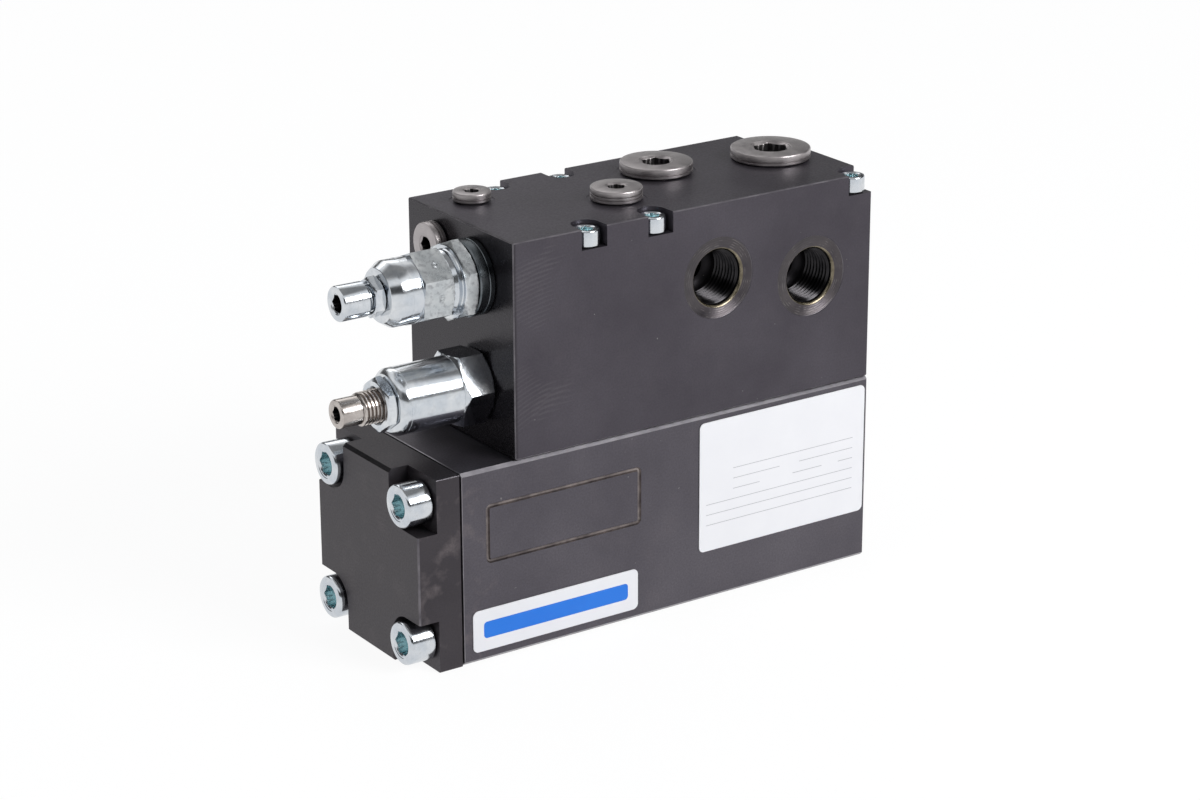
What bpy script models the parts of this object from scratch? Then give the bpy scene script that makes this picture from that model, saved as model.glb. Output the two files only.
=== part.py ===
"""Hydraulic pressure intensifier: a cylinder block with its end cover, under a valve manifold.

Units are metres, +Z is up. The origin is the middle of the cylinder section's underside:
+X runs from the end cover to the plain end, and the front face looks along -Y.
A distance called "out" in the valve functions is measured from the manifold's left face, along -X.
"""

import math

import bmesh
import bpy
from mathutils import Matrix, Vector

# Overall sizes
CYLINDER_LENGTH = 0.200         # end cover and cylinder block together
DEPTH = 0.070
CYLINDER_HEIGHT = 0.0735
MANIFOLD_LENGTH = 0.159
MANIFOLD_HEIGHT = 0.0805
COVER_THICKNESS = 0.018
GAP = 0.0003                    # clearance between any two pieces
BLOCK_CHAMFER = 0.0012
MANIFOLD_CHAMFER = 0.0004

RIGHT = CYLINDER_LENGTH / 2
LEFT = -CYLINDER_LENGTH / 2
FRONT = -DEPTH / 2
BACK = DEPTH / 2
JOINT_X = LEFT + COVER_THICKNESS
MANIFOLD_LEFT = RIGHT - MANIFOLD_LENGTH
MANIFOLD_BOTTOM = CYLINDER_HEIGHT + GAP
MANIFOLD_TOP = CYLINDER_HEIGHT + MANIFOLD_HEIGHT

# Intensifier cylinder
BORE_RADIUS = 0.022
BORE_DROP = 0.03675             # from the cylinder section's top to the bore's axis
BORE_Z = CYLINDER_HEIGHT - BORE_DROP
SPIGOT_LENGTH = 0.008
GLAND_LENGTH = 0.044
PISTON_HEAD = 0.020
PISTON_TRAVEL = 0.015           # each way from mid stroke
PISTON_END_CLEARANCE = 0.001
PLUNGER_RADIUS = 0.008
PLUNGER_LENGTH = 0.039
SEAL_SECTION = 0.002
GLAND_PORT_RADIUS = 0.002
GLAND_PORT_INSET = 0.0035       # from the gland's outer end to its port's middle

CYLINDER_SPACE = PISTON_HEAD + 2 * (PISTON_TRAVEL + PISTON_END_CLEARANCE)
LEFT_GLAND_X = JOINT_X + SPIGOT_LENGTH + GAP
PISTON_X = LEFT_GLAND_X + GLAND_LENGTH + CYLINDER_SPACE / 2
RIGHT_GLAND_X = PISTON_X + CYLINDER_SPACE / 2
BORE_END_X = RIGHT_GLAND_X + GLAND_LENGTH + GAP

# End cover screws, M10
COVER_SCREW_RADIUS = 0.005
COVER_HEAD_RADIUS = 0.008
COVER_HEAD_HEIGHT = 0.010
COVER_SOCKET_FLATS = 0.008
COVER_SCREW_LENGTH = 0.030
COVER_SCREW_INSET_Y = 0.0095    # from the nearest side
COVER_SCREW_INSET_Z = 0.0105    # from the top or the underside
COVER_HOLE_RUNOUT = 0.003       # drilled past the screw's end
COVER_POCKET_RADIUS = 0.0095
COVER_FLANGE = 0.010            # what the pockets leave under the screw heads

# Manifold screws, M6
MANIFOLD_SCREW_RADIUS = 0.003
MANIFOLD_HEAD_RADIUS = 0.005
MANIFOLD_HEAD_HEIGHT = 0.006
MANIFOLD_SOCKET_FLATS = 0.005
MANIFOLD_SCREW_LENGTH = 0.085
MANIFOLD_SCREW_INSET = 0.0055   # from the nearest long or end face
MANIFOLD_SCREW_FIRST = 0.0342   # from the manifold's left face
MANIFOLD_SCREW_SECOND = 0.0628
MANIFOLD_HOLE_RUNOUT = 0.002
MANIFOLD_POCKET_RADIUS = 0.0054
MANIFOLD_POCKET_DEPTH = 0.0077
SCREW_HOLE_CLEARANCE = 0.0003

# Front and back ports
PORT_RADIUS = 0.0103
PORT_DEPTH = 0.018
PORT_DRILL_RADIUS = 0.006
PORT_FACE_RADIUS = 0.01515
PORT_FACE_DEPTH = 0.0003
PORT_B_FROM_PLUG = 0.0051       # left of the medium plug's axis
PORT_B_DROP = 0.0285            # below the manifold's top
PORT_A_FROM_PLUG = 0.0092       # left of the large plug's axis
PORT_A_DROP = 0.0355
RELIEF_OUTLET_FROM_FACE = 0.077 # from the manifold's left face
OUTLET_RADIUS = 0.0066
OUTLET_DEPTH = 0.015
OUTLET_FACE_RADIUS = 0.0095
HIGH_PRESSURE_DRILL = 0.002

# Places of the screwed plugs, with Y from the blocks' middle plane
LARGE_PLUG_FROM_END = 0.0188    # from the plain end
LARGE_PLUG_Y = 0.0028
MEDIUM_PLUG_OFFSET = 0.0069     # left of the middle between the small and large plugs
MEDIUM_PLUG_Y = 0.0116
SMALL_PLUG_FROM_FACE = 0.0608   # from the manifold's left face
SMALL_PLUG_Y = -0.0099
MINI_PLUG_FROM_FACE = 0.0170
MINI_PLUG_Y = 0.0185
END_PLUG_Y = 0.0154
END_PLUG_DROP = 0.0125          # below the manifold's top

# Screwed plugs: collar radius and height, thread radius and depth, width across the socket's flats
TOP_PLUGS = {
    "large": (0.01515, 0.0043, 0.0130, 0.014, 0.012),
    "medium": (0.0137, 0.0043, 0.0103, 0.013, 0.010),
    "small": (0.0096, 0.0050, 0.0066, 0.012, 0.006),
    "mini": (0.0070, 0.0039, 0.0048, 0.008, 0.005),
}
END_PLUG = (0.0085, 0.0050, 0.0060, 0.009, 0.006)
PLUG_EDGE = 0.0005
PLUG_HOLE_RUNOUT = 0.001
PLUG_SOCKET_DEPTH = 0.006

# Cartridge valves
VALVE_Y = -0.0101
RELIEF_DROP = 0.0180            # below the manifold's top
SEQUENCE_OFFSET = 0.0090        # below the middle between the manifold's underside and the relief valve
RELIEF_Z = MANIFOLD_TOP - RELIEF_DROP
SEQUENCE_Z = (MANIFOLD_BOTTOM + RELIEF_Z) / 2 - SEQUENCE_OFFSET
CAVITY_RADIUS = 0.0110
CAVITY_DEPTH = 0.028
NOSE_CAVITY_RADIUS = 0.0080
NOSE_CAVITY_DEPTH = 0.047
GALLERY_RADIUS = 0.003
VALVE_THREAD_RADIUS = 0.0106
VALVE_THREAD_DEPTH = 0.026
CHAMBER_RADIUS = 0.0076
CHAMBER_OUT = 0.031
CAGE_RADIUS = 0.0073
CAGE_HOLE_RADIUS = 0.0040
CAGE_NOSE = 0.044
CAGE_SEAT = 0.018
CAGE_SIDE_HOLE_RADIUS = 0.0025
POPPET_RADIUS = 0.0060
POPPET_LENGTH = 0.016
POPPET_LIFT = 0.002
VALVE_SPRING_RADIUS = 0.0056
VALVE_SPRING_WIRE = 0.0007
VALVE_SPRING_TURNS = 6
SPRING_SEAT_RADIUS = 0.0068
SPRING_SEAT_THICKNESS = 0.004
SPRING_SEAT_OUT = 0.020
COLLAR_RADIUS = 0.0140
COLLAR_LENGTH = 0.0063
VALVE_SEAL_DEPTH = 0.002
THREAD_START_CHAMFER = 0.0008
VALVE_STEP = 0.00001            # between a hexagon and the round of the same size
NUT_LENGTH = 0.0040
NUT_EDGE = 0.0004
NUT_TURN_DEG = 34
KNOB_EDGE = 0.0006
VALVE_SOCKET_DEPTH = 0.006
SCREW_POINT = 0.001
PILOT_RADIUS = 0.0035           # of the stems that guide each end of a valve spring
PILOT_LENGTH = 0.003
POPPET_GUIDE_SHARE = 0.55       # of the poppet's length
POPPET_NOSE = 0.002

# The relief valve outside the block
RELIEF_TURN_DEG = 23            # of a hexagon corner, from the front towards the top
RELIEF_FLANGE_FLATS = 0.0270
RELIEF_FLANGE_LENGTH = 0.0054
RELIEF_NECK_RADIUS = 0.0116
RELIEF_NECK_LENGTH = 0.0035
RELIEF_HEX_FLATS = 0.0240
RELIEF_HEX_LENGTH = 0.0125
RELIEF_BARREL_RADIUS = 0.0120
RELIEF_BARREL_LENGTH = 0.0087
RELIEF_CONE_RADIUS = 0.0097
RELIEF_CONE_LENGTH = 0.0033
RELIEF_NUT_FLATS = 0.0130
RELIEF_SHANK_RADIUS = 0.0050
RELIEF_SHANK_SHOWN = 0.0060     # from the body's end to the knob
RELIEF_KNOB_RADIUS = 0.0064
RELIEF_KNOB_LENGTH = 0.0106
RELIEF_SOCKET_FLATS = 0.0060

# The sequence valve outside the block
SEQUENCE_TURN_DEG = 4
SEQUENCE_HEX_FLATS = 0.0254
SEQUENCE_HEX_LENGTH = 0.0123
SEQUENCE_BARREL_RADIUS = 0.0123
SEQUENCE_BARREL_LENGTH = 0.0232
SEQUENCE_CONE_RADIUS = 0.0104
SEQUENCE_CONE_LENGTH = 0.0022
SEQUENCE_NUT_FLATS = 0.0180
SEQUENCE_SHANK_RADIUS = 0.0061
SEQUENCE_SHANK_SHOWN = 0.0115
SEQUENCE_KNOB_RADIUS = 0.0053
SEQUENCE_KNOB_LENGTH = 0.0087
SEQUENCE_SOCKET_FLATS = 0.0050

# Outlet check valves, between the two blocks
CHECK_Y = -0.004
CHECK_RADIUS = 0.0060
CHECK_DEPTH = 0.0095
CHECK_SEAT_HEIGHT = 0.0025
CHECK_HOLE_RADIUS = 0.0021
CHECK_BALL_RADIUS = 0.0030
CHECK_SPRING_WIRE = 0.0003
CHECK_LIFT = 0.001
FACE_SEAL_RADIUS = 0.0080
FACE_SEAL_DEPTH = 0.0013
LEFT_CHECK_FROM_FACE = (CAVITY_DEPTH + NOSE_CAVITY_DEPTH) / 2

# Directional spool, under the medium plug
SPOOL_BORE_RADIUS = 0.0070
SPOOL_BORE_DEPTH = 0.062
SPOOL_FLOOR_Z = MANIFOLD_TOP - SPOOL_BORE_DEPTH
SPOOL_LENGTH = 0.032
SPOOL_TRAVEL = 0.008            # down from rest, against its spring
SPOOL_GROOVE_RADIUS = 0.0042

# Dump valve, under the large plug
DUMP_BORE_RADIUS = 0.0100
DUMP_BORE_DEPTH = 0.050
DUMP_FLOOR_Z = MANIFOLD_TOP - DUMP_BORE_DEPTH
DUMP_SEAT_HEIGHT = 0.005
DUMP_SEAT_HOLE_RADIUS = 0.0042
DUMP_POPPET_LENGTH = 0.014
DUMP_POPPET_RADIUS = 0.0080
DUMP_LIFT = 0.002
PILOT_BORE_RADIUS = 0.0062
PILOT_PISTON_LENGTH = 0.010
PILOT_FLOOR_Z = DUMP_FLOOR_Z - DUMP_LIFT - PILOT_PISTON_LENGTH - GAP

# Plates on the front
DATA_PLATE = (0.0804, 0.1578, 0.0193, 0.0705)       # left and right from the manifold's left face
FRONT_LABEL = (-0.0191, 0.0526, 0.0040, 0.0200)     # bottom and top
PLATE_CORNER = 0.0022
PLATE_THICKNESS = 0.0003
PLATE_GAP = 0.0001

SIDES = 24                      # of a turned piece, a multiple of 6 so that hexagons are exact
MEDIUM_SIDES = 18
SMALL_SIDES = 12
DRILL_SIDES = 8
SPRING_SIDES = 4
SPRING_STEPS = 8                # in each turn


def metal(name, colour, roughness, metallic=1.0):
    made = bpy.data.materials.new(name)
    made.use_nodes = True
    shader = made.node_tree.nodes["Principled BSDF"]
    shader.inputs["Base Color"].default_value = (*colour, 1.0)
    shader.inputs["Roughness"].default_value = roughness
    shader.inputs["Metallic"].default_value = metallic
    return made


def materials():
    return {
        "black_steel": metal("black_steel", (0.085, 0.078, 0.085), 0.42, 0.6),
        "zinc_steel": metal("zinc_steel", (0.72, 0.74, 0.77), 0.22),
        "machined_steel": metal("machined_steel", (0.45, 0.44, 0.43), 0.32),
        "dark_steel": metal("dark_steel", (0.16, 0.17, 0.19), 0.3),
        "seal_rubber": metal("seal_rubber", (0.02, 0.02, 0.02), 0.6, 0.0),
        "white_film": metal("white_film", (0.88, 0.88, 0.90), 0.4, 0.0),
    }


def clear_scene():
    for thing in list(bpy.data.objects):
        bpy.data.objects.remove(thing, do_unlink=True)


def frame_matrix(place, direction, reference):
    """Local Z along direction, and angle zero of a ring towards reference."""
    along = Vector(direction).normalized()
    zero = Vector(reference).normalized()
    side = along.cross(zero)
    turn = Matrix((zero, side, along)).transposed().to_4x4()
    return Matrix.Translation(Vector(place)) @ turn


def add_object(name, body, material, matrix, cutter=False):
    bmesh.ops.recalc_face_normals(body, faces=body.faces)
    mesh = bpy.data.meshes.new(name)
    body.to_mesh(mesh)
    body.free()
    if material:
        mesh.materials.append(material)
        mesh.shade_smooth()
        mesh.set_sharp_from_angle(angle=math.radians(35))
    made = bpy.data.objects.new(name, mesh)
    made.matrix_world = matrix
    bpy.context.scene.collection.objects.link(made)
    if cutter:
        made.hide_render = True
        made.display_type = "WIRE"
    return made


def ring_points(distance, size, shape, sides, turn):
    """One ring: round with a radius, or a hexagon with half its width across flats."""
    points = []
    for index in range(sides):
        angle = 2 * math.pi * index / sides
        reach = size
        if shape == "hex":
            # a corner stands at angle zero, and a flat's middle 30 degrees on
            from_flat = angle % (math.pi / 3) - math.pi / 6
            reach = size / math.cos(from_flat)
        points.append((reach * math.cos(angle + turn), reach * math.sin(angle + turn), distance))
    return points


def stack(name, rings, material, place, direction, reference=(1, 0, 0), sides=SIDES, turn=0.0,
          hollow=False, cutter=False):
    """A turned piece. Each ring is (distance, radius) or (distance, half width, "hex").

    A hollow piece's rings go up its outer side and back down its bore.
    """
    body = bmesh.new()
    loops = []
    for ring in rings:
        shape = ring[2] if len(ring) > 2 else "round"
        points = ring_points(ring[0], ring[1], shape, sides, turn)
        loops.append([body.verts.new(point) for point in points])
    pairs = list(zip(loops, loops[1:]))
    if hollow:
        pairs.append((loops[-1], loops[0]))
    for lower, upper in pairs:
        for index in range(sides):
            after = (index + 1) % sides
            body.faces.new((lower[index], lower[after], upper[after], upper[index]))
    if not hollow:
        body.faces.new(loops[0][::-1])
        body.faces.new(loops[-1])
    return add_object(name, body, material, frame_matrix(place, direction, reference), cutter)


def prism(name, outline, start, end, axis, material, cutter=False):
    """An outline of (first, second) points in the plane across axis, extruded from start to end."""
    body = bmesh.new()
    ends = []
    for level in (start, end):
        row = []
        for first, second in outline:
            point = {"X": (level, first, second), "Y": (first, level, second), "Z": (first, second, level)}
            row.append(body.verts.new(point[axis]))
        ends.append(row)
    count = len(outline)
    for index in range(count):
        after = (index + 1) % count
        body.faces.new((ends[0][index], ends[0][after], ends[1][after], ends[1][index]))
    body.faces.new(ends[0][::-1])
    body.faces.new(ends[1])
    return add_object(name, body, material, Matrix.Identity(4), cutter)


def arc(centre, radius, start_deg, end_deg, steps):
    points = []
    for index in range(steps + 1):
        angle = math.radians(start_deg + (end_deg - start_deg) * index / steps)
        points.append((centre[0] + radius * math.cos(angle), centre[1] + radius * math.sin(angle)))
    return points


def slot_outline(centre, radius, edge):
    """A pocket with a round inner end, open past edge on the second coordinate."""
    side = 1 if edge > centre[1] else -1
    start, end = (0, -180) if side > 0 else (0, 180)
    points = arc(centre, radius, start, end, 8)
    return [(centre[0] + radius, edge), *points, (centre[0] - radius, edge)]


def corner_outline(centre, radius, first_edge, second_edge):
    """A pocket with a round inner corner, open past both edges."""
    first_side = 1 if first_edge > centre[0] else -1
    second_side = 1 if second_edge > centre[1] else -1
    start = -90 * second_side
    end = -180 * second_side if first_side > 0 else 0
    points = arc(centre, radius, start, end, 5)
    return [(first_edge, points[0][1]), *points, (points[-1][0], second_edge), (first_edge, second_edge)]


def rounded_rectangle(left, right, bottom, top, radius):
    points = []
    points += arc((right - radius, top - radius), radius, 0, 90, 3)
    points += arc((left + radius, top - radius), radius, 90, 180, 3)
    points += arc((left + radius, bottom + radius), radius, 180, 270, 3)
    points += arc((right - radius, bottom + radius), radius, 270, 360, 3)
    return points


def block(name, low, high, chamfer, edges, material):
    """A rectangular block. The edges that run along the named axes are chamfered."""
    body = bmesh.new()
    bmesh.ops.create_cube(body, size=1.0)
    for vert in body.verts:
        for axis in range(3):
            vert.co[axis] = high[axis] if vert.co[axis] > 0 else low[axis]
    chosen = []
    for edge in body.edges:
        along = edge.verts[1].co - edge.verts[0].co
        longest = max(range(3), key=lambda axis: abs(along[axis]))
        if "XYZ"[longest] in edges:
            chosen.append(edge)
    bmesh.ops.bevel(body, geom=chosen, offset=chamfer, segments=1, affect="EDGES")
    return add_object(name, body, material, Matrix.Identity(4))


def cut(target, *tools):
    for tool in tools:
        modifier = target.modifiers.new("cut_" + tool.name, "BOOLEAN")
        modifier.operation = "DIFFERENCE"
        modifier.solver = "EXACT"
        modifier.object = tool


def hole(name, place, direction, steps, sides=SIDES):
    """A drilled cutter whose flats lie on the hole's radius. Steps are (depth, radius)."""
    margin = 0.002
    outward = 1 / math.cos(math.pi / sides)
    rings = [(-margin, steps[0][1] * outward)]
    for index, (depth, radius) in enumerate(steps):
        rings.append((depth, radius * outward))
        if index + 1 < len(steps):
            rings.append((depth, steps[index + 1][1] * outward))
    reference = (0, -1, 0) if abs(Vector(direction).y) < 0.5 else (1, 0, 0)
    return stack(name, rings, None, place, direction, reference, sides, cutter=True)


def spring(name, material, place, direction, radius, wire, length, turns):
    """A round-wire coil whose ends lie against its two seats."""
    body = bmesh.new()
    steps = turns * SPRING_STEPS
    rise = length - 2 * wire
    rows = []
    for step in range(steps + 1):
        angle = 2 * math.pi * step / SPRING_STEPS
        height = wire + rise * step / steps
        row = []
        for side in range(SPRING_SIDES):
            around = 2 * math.pi * side / SPRING_SIDES
            reach = radius + wire * math.cos(around)
            row.append(body.verts.new((reach * math.cos(angle), reach * math.sin(angle),
                                       height + wire * math.sin(around))))
        rows.append(row)
    for before, after in zip(rows, rows[1:]):
        for side in range(SPRING_SIDES):
            turn = (side + 1) % SPRING_SIDES
            body.faces.new((before[side], before[turn], after[turn], after[side]))
    body.faces.new(rows[0][::-1])
    body.faces.new(rows[-1])
    reference = (0, -1, 0) if abs(Vector(direction).x) > 0.5 else (1, 0, 0)
    return add_object(name, body, material, frame_matrix(place, direction, reference))


def ring(name, material, place, direction, inner, outer, height, sides=SIDES):
    """A seal or washer of square section with its edges broken."""
    reference = (0, -1, 0) if abs(Vector(direction).x) > 0.5 else (1, 0, 0)
    rings = [(0, outer), (height, outer), (height, inner), (0, inner)]
    return stack(name, rings, material, place, direction, reference, sides, hollow=True)


def socket_screw(name, material, place, direction, radius, length, head_radius, head_height, flats, sides):
    """A socket head cap screw whose head's underside is at place and whose head points along direction."""
    break_edge = head_radius * 0.08
    socket_depth = head_height * 0.55
    rings = [
        (-length, radius * 0.85),
        (-length + radius * 0.3, radius),
        (0, radius),
        (0, head_radius),
        (head_height - break_edge, head_radius),
        (head_height, head_radius - break_edge),
        (head_height, flats / 2, "hex"),
        (head_height - socket_depth, flats / 2, "hex"),
    ]
    reference = (0, -1, 0) if abs(Vector(direction).x) > 0.5 else (1, 0, 0)
    return stack(name, rings, material, place, direction, reference, sides)


def screw_plug(name, material, place, direction, sizes, sides):
    """A collared screw plug. Its collar stands on the face at place."""
    collar_radius, collar_height, thread_radius, thread_depth, flats = sizes
    rings = [
        (-thread_depth, thread_radius - PLUG_EDGE * 2),
        (-thread_depth + PLUG_EDGE * 2, thread_radius),
        (GAP, thread_radius),
        (GAP, collar_radius),
        (collar_height - PLUG_EDGE, collar_radius),
        (collar_height, collar_radius - PLUG_EDGE),
        (collar_height, flats / 2, "hex"),
        (collar_height - PLUG_SOCKET_DEPTH, flats / 2, "hex"),
    ]
    reference = (0, -1, 0) if abs(Vector(direction).x) > 0.5 else (1, 0, 0)
    return stack(name, rings, material, place, direction, reference, sides)


def cover_screw_places():
    places = []
    for side in (-1, 1):
        y = side * (DEPTH / 2 - COVER_SCREW_INSET_Y)
        places += [(y, COVER_SCREW_INSET_Z), (y, CYLINDER_HEIGHT - COVER_SCREW_INSET_Z)]
    return places


def manifold_screw_places():
    stations = (MANIFOLD_LEFT + MANIFOLD_SCREW_FIRST, MANIFOLD_LEFT + MANIFOLD_SCREW_SECOND,
                RIGHT - MANIFOLD_SCREW_INSET)
    places = []
    for side in (-1, 1):
        for x in stations:
            places.append((x, side * (DEPTH / 2 - MANIFOLD_SCREW_INSET)))
    return places


def check_places():
    """The two outlet check valves: the left one is fed by a drilling along the block."""
    right_x = RIGHT_GLAND_X + GLAND_LENGTH - GLAND_PORT_INSET
    return {"left": MANIFOLD_LEFT + LEFT_CHECK_FROM_FACE, "right": right_x}


def top_plug_place(size):
    large_x = RIGHT - LARGE_PLUG_FROM_END
    small_x = MANIFOLD_LEFT + SMALL_PLUG_FROM_FACE
    places = {
        "large": (large_x, LARGE_PLUG_Y),
        "medium": ((small_x + large_x) / 2 - MEDIUM_PLUG_OFFSET, MEDIUM_PLUG_Y),
        "small": (small_x, SMALL_PLUG_Y),
        "mini": (MANIFOLD_LEFT + MINI_PLUG_FROM_FACE, MINI_PLUG_Y),
    }
    return places[size]


def make_cylinder_block(steel):
    low = (JOINT_X + GAP, FRONT, 0)
    high = (RIGHT, BACK, CYLINDER_HEIGHT)
    made = block("cylinder_block", low, high, BLOCK_CHAMFER, "X", steel)
    face = JOINT_X + GAP
    cut(made, hole("cylinder_bore", (face, 0, BORE_Z), (1, 0, 0), [(BORE_END_X - face, BORE_RADIUS)],
                   MEDIUM_SIDES))
    for index, (y, z) in enumerate(cover_screw_places()):
        depth = COVER_SCREW_LENGTH - COVER_FLANGE + COVER_HOLE_RUNOUT
        radius = COVER_SCREW_RADIUS + SCREW_HOLE_CLEARANCE
        cut(made, hole(f"cover_screw_hole_{index}", (face, y, z), (1, 0, 0), [(depth, radius)], SMALL_SIDES))
    shank = MANIFOLD_SCREW_LENGTH - (MANIFOLD_HEIGHT - MANIFOLD_POCKET_DEPTH)
    for index, (x, y) in enumerate(manifold_screw_places()):
        radius = MANIFOLD_SCREW_RADIUS + SCREW_HOLE_CLEARANCE
        cut(made, hole(f"manifold_screw_hole_{index}", (x, y, CYLINDER_HEIGHT), (0, 0, -1),
                       [(shank + MANIFOLD_HOLE_RUNOUT, radius)], SMALL_SIDES))
    places = check_places()
    for side, x in places.items():
        steps = [(FACE_SEAL_DEPTH + GAP, FACE_SEAL_RADIUS), (CHECK_DEPTH, CHECK_RADIUS)]
        cut(made, hole(f"{side}_check_cavity", (x, CHECK_Y, CYLINDER_HEIGHT), (0, 0, -1), steps, SMALL_SIDES))
    drill_z = CYLINDER_HEIGHT - CHECK_DEPTH - HIGH_PRESSURE_DRILL * 0.75
    port_x = LEFT_GLAND_X + GLAND_PORT_INSET
    cut(made, hole("left_long_drilling", (face, CHECK_Y, drill_z), (1, 0, 0),
                   [(places["left"] + HIGH_PRESSURE_DRILL - face, HIGH_PRESSURE_DRILL)], DRILL_SIDES))
    reach = drill_z - BORE_Z
    cut(made, hole("left_gland_drilling", (port_x, CHECK_Y, drill_z - 0.002), (0, 0, -1),
                   [(reach - BORE_RADIUS * 0.8, GLAND_PORT_RADIUS)], DRILL_SIDES))
    floor_z = CYLINDER_HEIGHT - CHECK_DEPTH
    cut(made, hole("right_gland_drilling", (places["right"], CHECK_Y, floor_z + 0.001), (0, 0, -1),
                   [(floor_z - BORE_Z - BORE_RADIUS * 0.8, GLAND_PORT_RADIUS)], DRILL_SIDES))
    return made


def make_end_cover(steel):
    made = block("end_cover", (LEFT, FRONT, 0), (JOINT_X, BACK, CYLINDER_HEIGHT), 0.0006, "YZ", steel)
    spigot = stack("cover_spigot", [(-0.004, BORE_RADIUS - GAP), (SPIGOT_LENGTH - SEAL_SECTION * 2, BORE_RADIUS - GAP),
                                    (SPIGOT_LENGTH - SEAL_SECTION * 2, BORE_RADIUS - SEAL_SECTION),
                                    (SPIGOT_LENGTH - SEAL_SECTION, BORE_RADIUS - SEAL_SECTION),
                                    (SPIGOT_LENGTH - SEAL_SECTION, BORE_RADIUS - GAP),
                                    (SPIGOT_LENGTH, BORE_RADIUS - GAP)],
                   None, (JOINT_X, 0, BORE_Z), (1, 0, 0), (0, -1, 0), MEDIUM_SIDES, cutter=True)
    union = made.modifiers.new("spigot", "BOOLEAN")
    union.operation = "UNION"
    union.solver = "EXACT"
    union.object = spigot
    margin = 0.002
    for index, (y, z) in enumerate(cover_screw_places()):
        outer_y = math.copysign(DEPTH / 2 + margin, y)
        outer_z = CYLINDER_HEIGHT + margin if z > CYLINDER_HEIGHT / 2 else -margin
        outline = corner_outline((y, z), COVER_POCKET_RADIUS, outer_y, outer_z)
        cut(made, prism(f"cover_pocket_{index}", outline, LEFT - margin, JOINT_X - COVER_FLANGE, "X", None, True))
        radius = COVER_SCREW_RADIUS + SCREW_HOLE_CLEARANCE
        cut(made, hole(f"cover_hole_{index}", (LEFT, y, z), (1, 0, 0), [(COVER_THICKNESS + margin, radius)],
                       SMALL_SIDES))
    return made


def make_cover_screws(zinc):
    for index, (y, z) in enumerate(cover_screw_places()):
        place = (JOINT_X - COVER_FLANGE - GAP, y, z)
        socket_screw(f"end_cover_screw_{index + 1}", zinc, place, (-1, 0, 0), COVER_SCREW_RADIUS,
                     COVER_SCREW_LENGTH, COVER_HEAD_RADIUS, COVER_HEAD_HEIGHT, COVER_SOCKET_FLATS, 18)


def make_manifold_screws(zinc):
    place_z = MANIFOLD_TOP - MANIFOLD_POCKET_DEPTH + GAP
    for index, (x, y) in enumerate(manifold_screw_places()):
        socket_screw(f"manifold_screw_{index + 1}", zinc, (x, y, place_z), (0, 0, 1), MANIFOLD_SCREW_RADIUS,
                     MANIFOLD_SCREW_LENGTH, MANIFOLD_HEAD_RADIUS, MANIFOLD_HEAD_HEIGHT, MANIFOLD_SOCKET_FLATS,
                     SMALL_SIDES)


def make_manifold_block(steel):
    low = (MANIFOLD_LEFT, FRONT, MANIFOLD_BOTTOM)
    high = (RIGHT, BACK, MANIFOLD_TOP)
    made = block("manifold_block", low, high, MANIFOLD_CHAMFER, "XYZ", steel)
    margin = 0.002
    for index, (x, y) in enumerate(manifold_screw_places()):
        outer_y = math.copysign(DEPTH / 2 + margin, y)
        if RIGHT - x < MANIFOLD_SCREW_INSET * 1.5:
            outline = corner_outline((x, y), MANIFOLD_POCKET_RADIUS, RIGHT + margin, outer_y)
        else:
            outline = slot_outline((x, y), MANIFOLD_POCKET_RADIUS, outer_y)
        floor = MANIFOLD_TOP - MANIFOLD_POCKET_DEPTH
        cut(made, prism(f"manifold_pocket_{index}", outline, floor, MANIFOLD_TOP + margin, "Z", None, True))
        radius = MANIFOLD_SCREW_RADIUS + SCREW_HOLE_CLEARANCE
        cut(made, hole(f"manifold_hole_{index}", (x, y, floor), (0, 0, -1), [(MANIFOLD_HEIGHT, radius)],
                       SMALL_SIDES))
    cut_plug_holes(made)
    cut_valve_cavities(made)
    cut_ports(made)
    places = check_places()
    rises = {"left": SEQUENCE_Z, "right": SEQUENCE_Z + HIGH_PRESSURE_DRILL}
    for side, x in places.items():
        cut(made, hole(f"{side}_rise", (x, CHECK_Y, MANIFOLD_BOTTOM), (0, 0, 1),
                       [(rises[side] - MANIFOLD_BOTTOM, HIGH_PRESSURE_DRILL)], DRILL_SIDES))
    return made


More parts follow.
